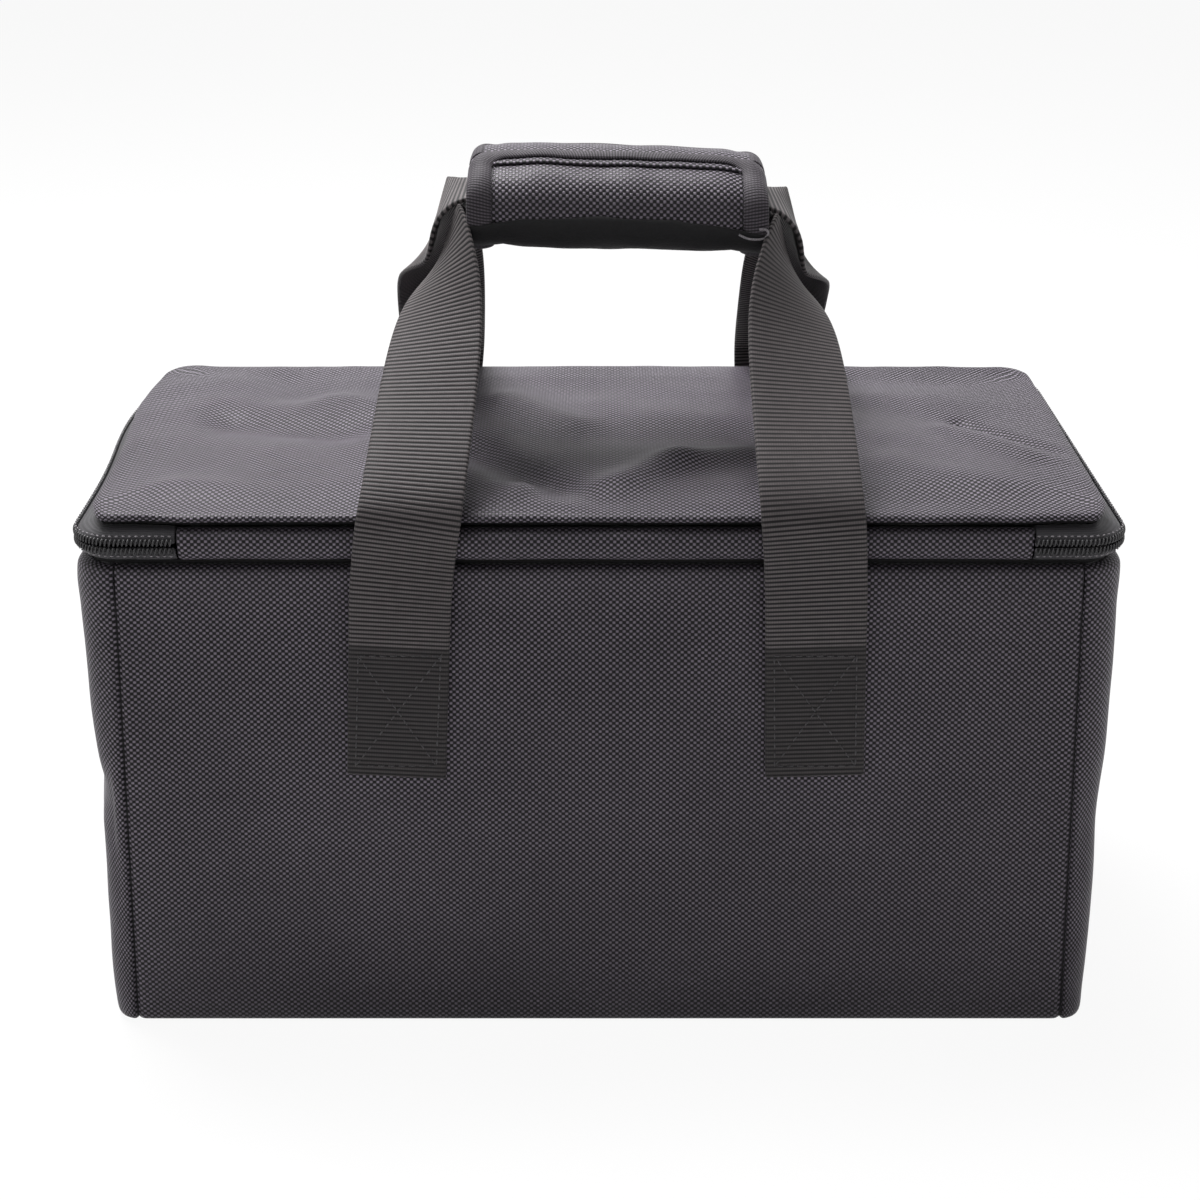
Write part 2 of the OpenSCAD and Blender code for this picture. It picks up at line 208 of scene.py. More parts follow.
def tube_piece(name: str, path: Sequence[Vector], radius: float, sides: int) -> bpy.types.Object:
    """Round wire or thread along a path.

    Args:
        name: The piece's name.
        path: The middle of the wire.
        radius: The wire's radius.
        sides: Faces round the wire.

    Returns:
        The new object.
    """
    last = len(path) - 1
    runs = [(path[min(i + 1, last)] - path[max(i - 1, 0)]).normalized() for i in range(last + 1)]
    across = [runs[0].orthogonal().normalized()]
    for run in runs[1:]:
        across.append((across[-1] - run * across[-1].dot(run)).normalized())
    reach = [0.0]
    for i in range(last):
        reach.append(reach[-1] + (path[i + 1] - path[i]).length)

    def place(i: int, j: int) -> Spot:
        """Point j of the ring at path point i."""
        angle = math.tau * j / sides
        out = across[i] * math.cos(angle) + runs[i].cross(across[i]) * math.sin(angle)
        return path[i] + out * radius, (reach[i], radius * angle)

    return grid_piece(name, last, sides, place, wrapped=True, capped=True)


@dataclass(frozen=True)
class StitchRun:
    """A row of stitches that lies on cloth.

    Attributes:
        path: Points that the row follows.
        pitch: Distance from one stitch to the next.
        length: Length of the thread that shows in each stitch.
        radius: Radius of the thread.
    """

    path: Sequence[Vector]
    pitch: float = 3.0
    length: float = 2.2
    radius: float = 0.22


def stitch_piece(name: str, runs: Sequence[StitchRun]) -> bpy.types.Object:
    """All the stitches of some rows, each a small rounded grain.

    Args:
        name: The piece's name.
        runs: The rows.

    Returns:
        The new object.
    """
    bm = bmesh.new()
    for run in runs:
        walked, due = 0.0, run.pitch / 2
        for a, b in zip(run.path, run.path[1:]):
            span = (b - a).length
            while due <= walked + span:
                spot = a.lerp(b, (due - walked) / span)
                turn = (b - a).to_track_quat("X", "Z").to_matrix().to_4x4()
                shape = Matrix.Diagonal((run.length / 2 * MM, run.radius * MM, run.radius * MM, 1))
                bmesh.ops.create_icosphere(
                    bm, subdivisions=1, radius=1, matrix=Matrix.Translation(spot * MM) @ turn @ shape
                )
                due += run.pitch
            walked += span
    for face in bm.faces:
        face.smooth = True
    return link_mesh(name, bm)


def thicken(piece: bpy.types.Object, thickness: float) -> None:
    """Gives a sheet its thickness, inwards from the side that its faces look to."""
    solid = piece.modifiers.new("thickness", "SOLIDIFY")
    solid.thickness = thickness * MM
    solid.offset = -1


def soften(piece: bpy.types.Object, levels: int = 1) -> None:
    """Rounds a piece with a subdivision surface."""
    surface = piece.modifiers.new("soft", "SUBSURF")
    surface.levels = levels
    surface.render_levels = levels


def settle(piece: bpy.types.Object) -> None:
    """Makes a piece's modifiers part of its mesh."""
    graph = bpy.context.evaluated_depsgraph_get()
    mesh = bpy.data.meshes.new_from_object(
        piece.evaluated_get(graph), preserve_all_data_layers=True, depsgraph=graph
    )
    mesh.name = piece.name
    piece.modifiers.clear()
    piece.data = mesh


def dress(
    piece: bpy.types.Object,
    finish: bpy.types.Material,
    slot: Slot,
    body: str | None = None,
    stands_for: Sequence[str] = (),
) -> bpy.types.Object:
    """Gives a new piece its material and its body, and hides the CAD nodes that it stands for.

    Args:
        piece: The piece.
        finish: Its material.
        slot: The record's slot that the finish belongs to. Not used.
        body: The body that it rides on, or None for a piece that bends between two.
        stands_for: CAD nodes that it replaces.

    Returns:
        The same piece.
    """
    piece.data.materials.clear()
    piece.data.materials.append(finish)
    if body:
        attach(piece, body)
    if stands_for:
        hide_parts(*stands_for)
    LOG.info("%s: %d faces", piece.name, len(piece.data.polygons))
    return piece


# ---- materials ----


def linear(colour: str) -> tuple[float, float, float, float]:
    """Turns an sRGB hex colour to linear light.

    Args:
        colour: Six hex digits.

    Returns:
        Red, green, blue and an alpha of 1.
    """
    parts = [int(colour[i : i + 2], 16) / 255 for i in (0, 2, 4)]
    return (*(p / 12.92 if p <= 0.04045 else ((p + 0.055) / 1.055) ** 2.4 for p in parts), 1.0)


def add_node(
    tree: bpy.types.NodeTree,
    kind: str,
    settings: dict[str, object] | None = None,
    inputs: dict[str | int, object] | None = None,
) -> bpy.types.Node:
    """Adds a node with its settings and its inputs, each a value or the socket that feeds it.

    Args:
        tree: The node tree.
        kind: The node's type.
        settings: The node's own properties.
        inputs: Its inputs, by name or number.

    Returns:
        The new node.
    """
    node = tree.nodes.new(kind)
    for name, value in (settings or {}).items():
        setattr(node, name, value)
    for name, value in (inputs or {}).items():
        if isinstance(value, bpy.types.NodeSocket):
            tree.links.new(value, node.inputs[name])
        else:
            node.inputs[name].default_value = value
    return node


@dataclass(frozen=True)
class Finish:
    """What every finish has.

    Attributes:
        name: The material's name.
        light: Its lighter colour.
        dark: Its darker colour, in hollows and between threads.
        roughness: Roughness of the surface.
        sheen: How much its fibres catch light along the edge of the view.
        specular: Level of the mirror-like light.
        rise: Height of its relief in millimetres.
    """

    name: str
    light: str
    dark: str
    roughness: float = 0.6
    sheen: float = 0.0
    specular: float = 0.5
    rise: float = 0.1

    def relief(self, tree: bpy.types.NodeTree) -> bpy.types.NodeSocket:
        """Socket that runs from 0 in a hollow to 1 on a crest."""
        raise NotImplementedError

    def shade(self, tree: bpy.types.NodeTree) -> bpy.types.NodeSocket | None:
        """Socket of painted shade that darkens some part of the piece, or None."""
        return None

    def mottle(self, tree: bpy.types.NodeTree, height: bpy.types.NodeSocket) -> bpy.types.NodeSocket:
        """Colour for a height, with slow patches, uneven threads and any painted shade of the finish.

        Args:
            tree: The node tree.
            height: Socket of the relief.

        Returns:
            Socket of the colour.
        """
        place = add_node(tree, "ShaderNodeTexCoord").outputs["Object"]
        thread = add_node(
            tree, "ShaderNodeTexNoise", inputs={"Vector": place, "Scale": 1 / (2.2 * MM), "Detail": 2.0}
        ).outputs["Fac"]
        patch = add_node(
            tree, "ShaderNodeTexNoise", inputs={"Vector": place, "Scale": 1 / (38 * MM), "Detail": 2.0}
        ).outputs["Fac"]
        uneven = add_node(
            tree, "ShaderNodeMapRange",
            inputs={0: thread, 1: 0.25, 2: 0.75, 3: 0.82, 4: 1.0},
        ).outputs[0]
        worn = add_node(
            tree, "ShaderNodeMapRange", inputs={0: patch, 1: 0.3, 2: 0.7, 3: 0.84, 4: 1.0}
        ).outputs[0]
        both = add_node(tree, "ShaderNodeMath", {"operation": "MULTIPLY"}, {0: uneven, 1: worn}).outputs[0]
        share = add_node(tree, "ShaderNodeMath", {"operation": "MULTIPLY"}, {0: both, 1: height}).outputs[0]
        shade = self.shade(tree)
        if shade:
            share = add_node(tree, "ShaderNodeMath", {"operation": "MULTIPLY"}, {0: share, 1: shade}).outputs[0]
        return add_node(
            tree, "ShaderNodeMix", {"data_type": "RGBA"},
            {"Factor": share, 6: linear(self.dark), 7: linear(self.light)},
        ).outputs[2]

    def build(self) -> bpy.types.Material:
        """Makes the material.

        Returns:
            The material, with its relief in its bump and its colour.
        """
        finish = bpy.data.materials.new(self.name)
        finish.use_nodes = True
        tree = finish.node_tree
        tree.nodes.clear()
        height = self.relief(tree)
        bump = add_node(
            tree, "ShaderNodeBump", inputs={"Strength": 1.0, "Distance": self.rise * MM, "Height": height}
        ).outputs[0]
        shader = add_node(
            tree, "ShaderNodeBsdfPrincipled",
            inputs={
                "Base Color": self.mottle(tree, height),
                "Roughness": self.roughness,
                "Sheen Weight": self.sheen,
                "Sheen Roughness": 0.45,
                "Specular IOR Level": self.specular,
                "Normal": bump,
            },
        )
        add_node(tree, "ShaderNodeOutputMaterial", inputs={"Surface": shader.outputs[0]})
        return finish


@dataclass(frozen=True)
class Weave(Finish):
    """Plain-woven cloth, seen as a checker of crests and hollows.

    Attributes:
        cell_u: Width of one crossing of threads in millimetres.
        cell_v: Its height.
        low: Share of the wave's height below which all is hollow.
        high: Share above which all is crest.
    """

    cell_u: float = 0.8
    cell_v: float = 0.8
    low: float = -0.25
    high: float = 0.75

    def relief(self, tree: bpy.types.NodeTree) -> bpy.types.NodeSocket:
        """Product of two waves, one along each thread direction."""
        cloth = add_node(tree, "ShaderNodeUVMap", {"uv_map": CLOTH_UV}).outputs[0]
        apart = add_node(tree, "ShaderNodeSeparateXYZ", inputs={0: cloth})
        waves = []
        for axis, cell in ((0, self.cell_u), (1, self.cell_v)):
            turns = add_node(
                tree, "ShaderNodeMath", {"operation": "MULTIPLY"},
                {0: apart.outputs[axis], 1: math.pi / (cell * MM)},
            ).outputs[0]
            waves.append(add_node(tree, "ShaderNodeMath", {"operation": "SINE"}, {0: turns}).outputs[0])
        cross = add_node(tree, "ShaderNodeMath", {"operation": "MULTIPLY"}, {0: waves[0], 1: waves[1]})
        return add_node(
            tree, "ShaderNodeMapRange", {"interpolation_type": "SMOOTHSTEP"},
            {0: cross.outputs[0], 1: self.low, 2: self.high, 3: 0.0, 4: 1.0},
        ).outputs[0]


@dataclass(frozen=True)
class Rib(Finish):
    """Ribbed tape or webbing, with ribs across its length and fine threads along it.

    Attributes:
        pitch: Distance from rib to rib in millimetres.
        thread: Distance between the fine threads that cross the ribs.
        along_u: Whether the tape's length is its first cloth coordinate.
        share: How deep the fine threads mark each rib.
        painted_shade_reach: Length of the sewn ends, painted darker as painted shade for the webbing that lies
            flat on the wall in less light.
    """

    pitch: float = 1.17
    thread: float = 0.6
    along_u: bool = False
    share: float = 0.25
    painted_shade_reach: float = 0.0

    def shade(self, tree: bpy.types.NodeTree) -> bpy.types.NodeSocket | None:
        """Painted shade: darker where the webbing lies sewn flat on the wall, in less light."""
        if not self.painted_shade_reach:
            return None
        cloth = add_node(tree, "ShaderNodeUVMap", {"uv_map": CLOTH_UV}).outputs[0]
        apart = add_node(tree, "ShaderNodeSeparateXYZ", inputs={0: cloth})
        edge = self.painted_shade_reach * MM
        return add_node(
            tree, "ShaderNodeMapRange",
            inputs={0: apart.outputs[1], 1: edge - 0.3 * MM, 2: edge + 0.3 * MM, 3: 0.4, 4: 1.0},
        ).outputs[0]

    def relief(self, tree: bpy.types.NodeTree) -> bpy.types.NodeSocket:
        """Ribs, broken a little by the threads that hold them."""
        cloth = add_node(tree, "ShaderNodeUVMap", {"uv_map": CLOTH_UV}).outputs[0]
        apart = add_node(tree, "ShaderNodeSeparateXYZ", inputs={0: cloth})
        order = (0, 1) if self.along_u else (1, 0)
        waves = []
        for axis, pitch in zip(order, (self.pitch, self.thread)):
            turns = add_node(
                tree, "ShaderNodeMath", {"operation": "MULTIPLY"},
                {0: apart.outputs[axis], 1: math.tau / (pitch * MM)},
            ).outputs[0]
            waves.append(add_node(tree, "ShaderNodeMath", {"operation": "COSINE"}, {0: turns}).outputs[0])
        rib = add_node(
            tree, "ShaderNodeMapRange", {"interpolation_type": "SMOOTHSTEP"},
            {0: waves[0], 1: -0.7, 2: 0.6, 3: 0.0, 4: 1.0},
        ).outputs[0]
        mark = add_node(
            tree, "ShaderNodeMapRange", inputs={0: waves[1], 1: -1.0, 2: 1.0, 3: 1 - self.share, 4: 1.0}
        ).outputs[0]
        return add_node(tree, "ShaderNodeMath", {"operation": "MULTIPLY"}, {0: rib, 1: mark}).outputs[0]


@dataclass(frozen=True)
class Grain(Finish):
    """A surface of small grains, pores or loops that run no way in particular.

    Attributes:
        size: Size of a grain in millimetres.
        detail: Levels of finer grain.
    """

    size: float = 1.0
    detail: float = 4.0

    def relief(self, tree: bpy.types.NodeTree) -> bpy.types.NodeSocket:
        """Noise in the object's own space."""
        place = add_node(tree, "ShaderNodeTexCoord").outputs["Object"]
        grain = add_node(
            tree, "ShaderNodeTexNoise",
            inputs={"Vector": place, "Scale": 1 / (self.size * MM), "Detail": self.detail},
        ).outputs["Fac"]
        return add_node(tree, "ShaderNodeMapRange", inputs={0: grain, 1: 0.3, 2: 0.7, 3: 0.0, 4: 1.0}).outputs[0]


@dataclass(frozen=True)
class Finishes:
    """The bag's materials, each named for what the real one is, except that the black one is also painted shade.
    """

    # Coated oxford nylon: pale weft dashes over dark gaps, and a dull shine along the edge of the view.
    oxford: bpy.types.Material
    # Polypropylene webbing: rounded ribs with black grooves, and painted shade on its sewn ends.
    webbing: bpy.types.Material
    # Grosgrain binding: fine ribs across a narrow tape.
    grosgrain: bpy.types.Material
    # Knitted zip tape: nearly black and smooth, with a faint fine rib.
    zip_tape: bpy.types.Material
    # Nylon monofilament: black and a little glossy.
    coil: bpy.types.Material
    # Black enamel on die-cast zinc: even, half gloss, with faint ripples.
    enamel: bpy.types.Material
    # Glass-fibre cloth with a silver-grey fire-resistant coating.
    lining: bpy.types.Material
    # Closed-cell polyethylene foam: pale, with fine pores.
    foam: bpy.types.Material
    # Pressed fibre board: tan, with matted fibres.
    board: bpy.types.Material
    # Nylon hook and loop: black and fuzzy.
    fuzz: bpy.types.Material
    # Bonded sewing thread, as pale as the cloth's crests.
    thread: bpy.types.Material
    # The same thread painted darker as painted shade, where it lies on the webbing's sewn ends and on the hems
    # inside the body and the lid.
    dark_thread: bpy.types.Material
    # Black and matt: the piping in the seams and the stitches round the near cover, and painted shade: a black
    # sheet over the lower part of the grip, where it falls in shadow.
    black_cloth: bpy.types.Material

    @classmethod
    def make(cls) -> "Finishes":
        """Builds every material once."""
        return cls(
            oxford=Weave("coated_oxford_nylon", "857D89", "0E0D0F", 0.42, 0.04, 0.14, 0.18,
                         cell_u=0.84, cell_v=0.78).build(),
            # Its sewn ends are darkened as painted shade.
            webbing=Rib("polypropylene_webbing", "6A6465", "1B1A1B", 0.55, 0.04, 0.14, 0.06, painted_shade_reach=36.0).build(),
            grosgrain=Rib("grosgrain_binding", "5C565D", "201E21", 0.65, 0.06, 0.16, 0.08,
                          pitch=0.8, thread=0.8, along_u=True, share=0.5).build(),
            zip_tape=Rib("knitted_zip_tape", "38363A", "232225", 0.6, 0.1, 0.35, 0.03,
                         pitch=0.6, thread=0.6, share=0.3).build(),
            coil=Grain("nylon_monofilament", "2E2D30", "1C1B1D", 0.35, 0.0, 0.5, 0.01, size=0.6).build(),
            enamel=Grain("black_enamel_on_zinc", "232325", "1A1A1C", 0.3, 0.0, 0.6, 0.01, size=1.5).build(),
            lining=Weave("coated_glass_fibre_cloth", "B4B6B8", "7C7E80", 0.42, 0.0, 0.6, 0.08,
                         cell_u=0.7, cell_v=0.7, low=-0.9, high=0.9).build(),
            foam=Grain("closed_cell_foam", "DEDCD6", "B9B7B1", 0.8, 0.0, 0.3, 0.1, size=0.9).build(),
            board=Grain("pressed_fibre_board", "BCB5A6", "8F8878", 0.8, 0.0, 0.3, 0.1, size=1.6).build(),
            fuzz=Grain("nylon_hook_and_loop", "2B2A2C", "0C0C0D", 0.85, 0.3, 0.2, 0.4, size=0.5).build(),
            thread=Grain("bonded_thread", "9A959A", "605C60", 0.6, 0.1, 0.4, 0.03, size=0.3).build(),
            # Black trim, and the painted shade under the grip.
            black_cloth=Grain("brushed_black_cloth", "19181A", "0F0F10", 0.8, 0.1, 0.25, 0.05, size=0.7).build(),
            # The same thread, painted darker as painted shade.
            dark_thread=Grain("bonded_thread_in_painted_shade", "4A474A", "2B2A2C", 0.6, 0.1, 0.4, 0.03, size=0.3).build(),
        )


# ---- outline ----


@dataclass(frozen=True)
class Fold:
    """A soft ridge or dent in a sheet, along a line.

    Attributes:
        start: One end, in the sheet's own two directions.
        end: The other end.
        width: How far it spreads to each side.
        depth: Its height, below 0 for a dent.
    """

    start: tuple[float, float]
    end: tuple[float, float]
    width: float
    depth: float

    def height(self, x: float, y: float) -> float:
        """Height that the fold adds at a point."""
        dx, dy = self.end[0] - self.start[0], self.end[1] - self.start[1]
        px, py = x - self.start[0], y - self.start[1]
        f = min(1.0, max(0.0, (px * dx + py * dy) / (dx * dx + dy * dy)))
        return self.depth * hill(math.hypot(px - f * dx, py - f * dy), self.width)


@dataclass(frozen=True)
class Outline:
    """The bag's outline from above.

    A station runs from 0 to 8 round it, one for each side or corner: near side, near right
    corner, right end, far right corner, far side, far left corner, left end, near left corner.
    """

    half_l: float = 130.0
    half_w: float = 65.0
    radius: float = 11.4
    foot_radius: float = 6.3
    wall_h: float = 132.0
    end_draw: float = 0.9
    end_swell: float = 3.4

    def radius_at(self, z: float) -> float:
        """Corner radius at a height: the corners tighten towards the base."""
        return mix(self.foot_radius, self.radius, min(1.0, z / self.wall_h))

    def lengths(self) -> list[float]:
        """Length of each of the eight stretches."""
        a, b = 2 * (self.half_l - self.radius), 2 * (self.half_w - self.radius)
        bend = math.pi / 2 * self.radius
        return [a, bend, b, bend, a, bend, b, bend]

    def point(self, station: float, inset: float, z: float) -> tuple[Vector, Vector]:
        """Point and outward direction at a station.

        Args:
            station: Where round the outline.
            inset: How far inside it.
            z: The height.

        Returns:
            The point and the direction.
        """
        r = self.radius_at(z)
        a, b = self.half_l - r, self.half_w - r
        k, f = int(station // 1) % 8, station % 1
        middle = [
            (mix(-a, a, f), -b), (a, -b), (a, mix(-b, b, f)), (a, b),
            (mix(a, -a, f), b), (-a, b), (-a, mix(b, -b, f)), (-a, -b),
        ][k]
        angle = math.radians(-90 + 90 * (k // 2) + (90 * f if k % 2 else 0))
        out = Vector((math.cos(angle), math.sin(angle), 0))
        spot = Vector((*middle, z)) + out * (r - inset)
        outer = 1 - step(3.7, 5.2, inset)
        drawn = self.end_draw * abs(out.x) * step(112, 131, z)
        return spot + out * outer * (self.swell(spot.x, spot.y, z) - drawn), out

    def swell(self, x: float, y: float, z: float) -> float:
        """How far the slack left end stands out, towards the far side and the top."""
        return self.end_swell * step(-112, -122, x) * hill(y - 26, 34) * step(92, 137, z)

    def run(self, station: float) -> float:
        """Distance round the outline to a station."""
        lengths = self.lengths()
        whole = int(station // 1)
        return sum(lengths[k % 8] for k in range(whole)) + lengths[whole % 8] * (station % 1)

    def station(self, run: float) -> float:
        """Station at a distance round the outline."""
        k = 0
        lengths = self.lengths()
        while run > lengths[k % 8] + 1e-9:
            run -= lengths[k % 8]
            k += 1
        return k + min(run / lengths[k % 8], 0.999999)

    def stations(self, start: float, end: float, pace: float, near_ends: Sequence[float] = ()) -> list[float]:
        """Stations from one to another, closer together in the corners and near the ends.

        Args:
            start: First station.
            end: Last station.
            pace: Distance between two on the straights.
            near_ends: Distances from both ends that get a station of their own.

        Returns:
            The stations in order.
        """
        first, last = self.run(start), self.run(end)
        marks = [first, last]
        marks += [first + d for d in near_ends] + [last - d for d in near_ends]
        for k in range(int(start), math.ceil(end)):
            low, high = max(self.run(k), first), min(self.run(k + 1), last)
            count = max(1, math.ceil((high - low) / (pace / 2 if k % 2 else pace)))
            marks += [mix(low, high, i / count) for i in range(count + 1)]
        kept: list[float] = []
        for mark in sorted(marks):
            if not kept or mark - kept[-1] > 0.25:
                kept.append(mark)
        kept[-1] = last
        return [self.station(mark) for mark in kept]

    def round_corner(self, x: float, y: float) -> tuple[float, float]:
        """Moves a point of the square-cornered plan into the round-cornered one."""
        r = self.radius
        a, b = self.half_l - r, self.half_w - r
        p, q = (abs(x) - a) / r, (abs(y) - b) / r
        if p <= 0 or q <= 0:
            return x, y
        return (
            math.copysign(a + r * p * math.sqrt(1 - q * q / 2), x),
            math.copysign(b + r * q * math.sqrt(1 - p * p / 2), y),
        )

    def edge(self, x: float, y: float) -> tuple[float, Vector]:
        """Distance from a point of the plan to the outline, and the way there.

        Args:
            x: Along the length.
            y: Across the width.

        Returns:
            The distance and the outward direction.
        """
        p, q = abs(x) - (self.half_l - self.radius), abs(y) - (self.half_w - self.radius)
        sx, sy = math.copysign(1, x), math.copysign(1, y)
        if p > 0 and q > 0:
            reach = math.hypot(p, q)
            return self.radius - reach, Vector((p / reach * sx, q / reach * sy, 0))
        if p > q:
            return self.half_l - abs(x), Vector((sx, 0, 0))
        return self.half_w - abs(y), Vector((0, sy, 0))


MIDDLE = Vector((0, 0, 70))
SEAM_MARKS = (0.5, 1.0, 1.6, 2.4)


def band_piece(
    name: str,
    outline: Outline,
    stations: Sequence[float],
    profile: Sequence[tuple[float, float]],
    relief: Callable[[float, float, float], float] | None = None,
    wrapped: bool = False,
) -> bpy.types.Object:
    """Cloth that runs round the outline with one upright profile.

    Args:
        name: The piece's name.
        outline: The outline that it follows.
        stations: Its stations.
        profile: Inset and height of each row.
        relief: Extra inset for a station, a height and the distance to the sheet's side edges.
        wrapped: Whether it closes on itself.

    Returns:
        The new object.
    """
    rise = [0.0]
    for (i0, z0), (i1, z1) in zip(profile, profile[1:]):
        rise.append(rise[-1] + math.hypot(i1 - i0, z1 - z0))
    first, last = outline.run(stations[0]), outline.run(stations[-1])

    def place(i: int, j: int) -> Spot:
        """Point of the band."""
        inset, z = profile[j]
        run = outline.run(stations[i])
        if relief:
            inset += relief(stations[i], z, min(run - first, last - run))
        spot, _ = outline.point(stations[i], inset, z)
        return spot, (run, rise[j])

    return grid_piece(name, len(stations) - 1, len(profile) - 1, place, wrapped=wrapped, core=MIDDLE)


# ---- body ----


@dataclass
class Walls:
    """The four outer skins and the base, sewn edge to edge.

    Attributes:
        outline: The bag's outline.
        cloth: Thickness of the skin.
        pace: Distance between rows and columns of the mesh.
        groove: Depth of an upright seam.
    """

    outline: Outline
    cloth: float = 1.0
    pace: float = 3.2
    groove: float = 1.1
    creases: list[Fold] = field(default_factory=lambda: [
        Fold((-44, 92), (-58, 66), 5.0, 1.3),
        Fold((-38, 84), (-50, 58), 4.0, -0.8),
        Fold((-62, 70), (-63, 56), 4.0, 0.9),
    ])
    front_creases: list[Fold] = field(default_factory=lambda: [
        Fold((-68, 126), (-72, 104), 5.0, 0.7),
        Fold((-32, 128), (-26, 112), 4.0, 0.8),
        Fold((34, 128), (30, 108), 5.0, 0.8),
        Fold((72, 128), (78, 112), 5.0, 0.7),
        Fold((-14, 126), (14, 123), 6.0, -0.4),
        Fold((-116, 80), (-112, 40), 7.0, 0.6),
        Fold((20, 60), (70, 52), 14.0, -0.4),
    ])

    def profile(self) -> list[tuple[float, float]]:
        """Inset and height from under the base's edge to the seam below the band."""
        foot = [(2.6, 0.1), (1.5, 0.2), (0.7, 0.7), (0.25, 1.6), (0.05, 3.0), (0.0, 5.5)]
        rows = round((128.5 - 9) / self.pace)
        straight = [(-0.5 * step(118, 127, z), z) for z in (mix(9, 128.5, i / rows) for i in range(rows + 1))]
        return foot + straight + [(-0.4, 129.6), (0.0, 130.5), (0.9, 131.2), (2.2, 131.4), (3.6, 131.2)]

    def relief(self, station: float, z: float, side: float) -> float:
        """Extra inset from seams, slack and creases."""
        spot, out = self.outline.point(station, 0, z)
        calm = step(0, 10, z) * step(132, 124, z) * step(0, 6, side)
        slack = 0.55 * soft_noise(spot.x, spot.y, z, 46) + 0.25 * soft_noise(spot.x + 300, spot.y, z, 17)
        seam = self.groove * hill(side, 0.9) + 0.12 * hill(side, 5) * soft_noise(0, 0, z, 5)
        fold = 0.0
        if out.x < -0.5:
            fold = sum(f.height(spot.y, z) for f in self.creases)
        if out.y < -0.5:
            fold -= sum(f.height(spot.x, z) for f in self.front_creases)
        swell = -0.5 * step(0, 60, min(side, 60)) * math.sin(math.pi * min(1.0, max(0.0, z / 132)))
        return seam + calm * (slack + fold) + calm * swell

    def base(self) -> bpy.types.Object:
        """Base cloth, a little slack, inside its seam."""
        outline = self.outline
        columns, rows = 60, 34

        def place(i: int, j: int) -> Spot:
            """Point of the base."""
            x, y = mix(-127.4, 127.4, i / columns), mix(-62.4, 62.4, j / rows)
            z = 0.45 + 0.2 * soft_noise(x, y, 0, 30)
            return Vector((x, y, z)), (x, y)

        piece = grid_piece("base_skin", columns, rows, place, core=MIDDLE)
        thicken(piece, 0.6)
        return piece

    def build(self, finishes: Finishes) -> None:
        """Makes the skins and dresses them."""
        for name, node, start, end in (
            ("hinge_side_skin", "hinge_side_panel", 0, 1),
            ("right_end_skin", "right_end_panel", 1, 4),
            ("zip_side_skin", "zip_side_panel", 4, 5),
            ("left_end_skin", "left_end_panel", 5, 8),
        ):
            stations = self.outline.stations(start, end - 1e-6, self.pace, SEAM_MARKS)
            piece = band_piece(name, self.outline, stations, self.profile(), self.relief)
            thicken(piece, self.cloth)
            soften(piece)
            dress(piece, finishes.oxford, Slot.SKIN, "body", [node])
        dress(self.base(), finishes.oxford, Slot.SKIN, "body", ["base_panel"])
        rim = self.outline.stations(0, 7.999999, self.pace)
        path = [self.outline.point(s, 3.6, 132.0)[0] for s in [*rim, rim[0]]]
        dress(tube_piece("rim_welt", path, 0.75, 8), finishes.black_cloth, Slot.BINDING, "body")
        core = band_piece(
            "wall_core", self.outline, rim, [(3.1, mix(5.6, 129.8, i / 30)) for i in range(31)], wrapped=True
        )
        thicken(core, 2.1)
        nodes = ["hinge_side_foam", "zip_side_foam", "left_end_foam", "right_end_foam"]
        dress(core, finishes.foam, Slot.FOAM, "body", nodes)
        for name, station in (("near_left", 0), ("near_right", 1), ("far_right", 4), ("far_left", 5)):
            path = [self.outline.point(station, 1.8, mix(1.5, 130.5, i / 40))[0] for i in range(41)]
            dress(tube_piece(f"{name}_welt", path, 0.8, 8), finishes.black_cloth, Slot.BINDING, "body")


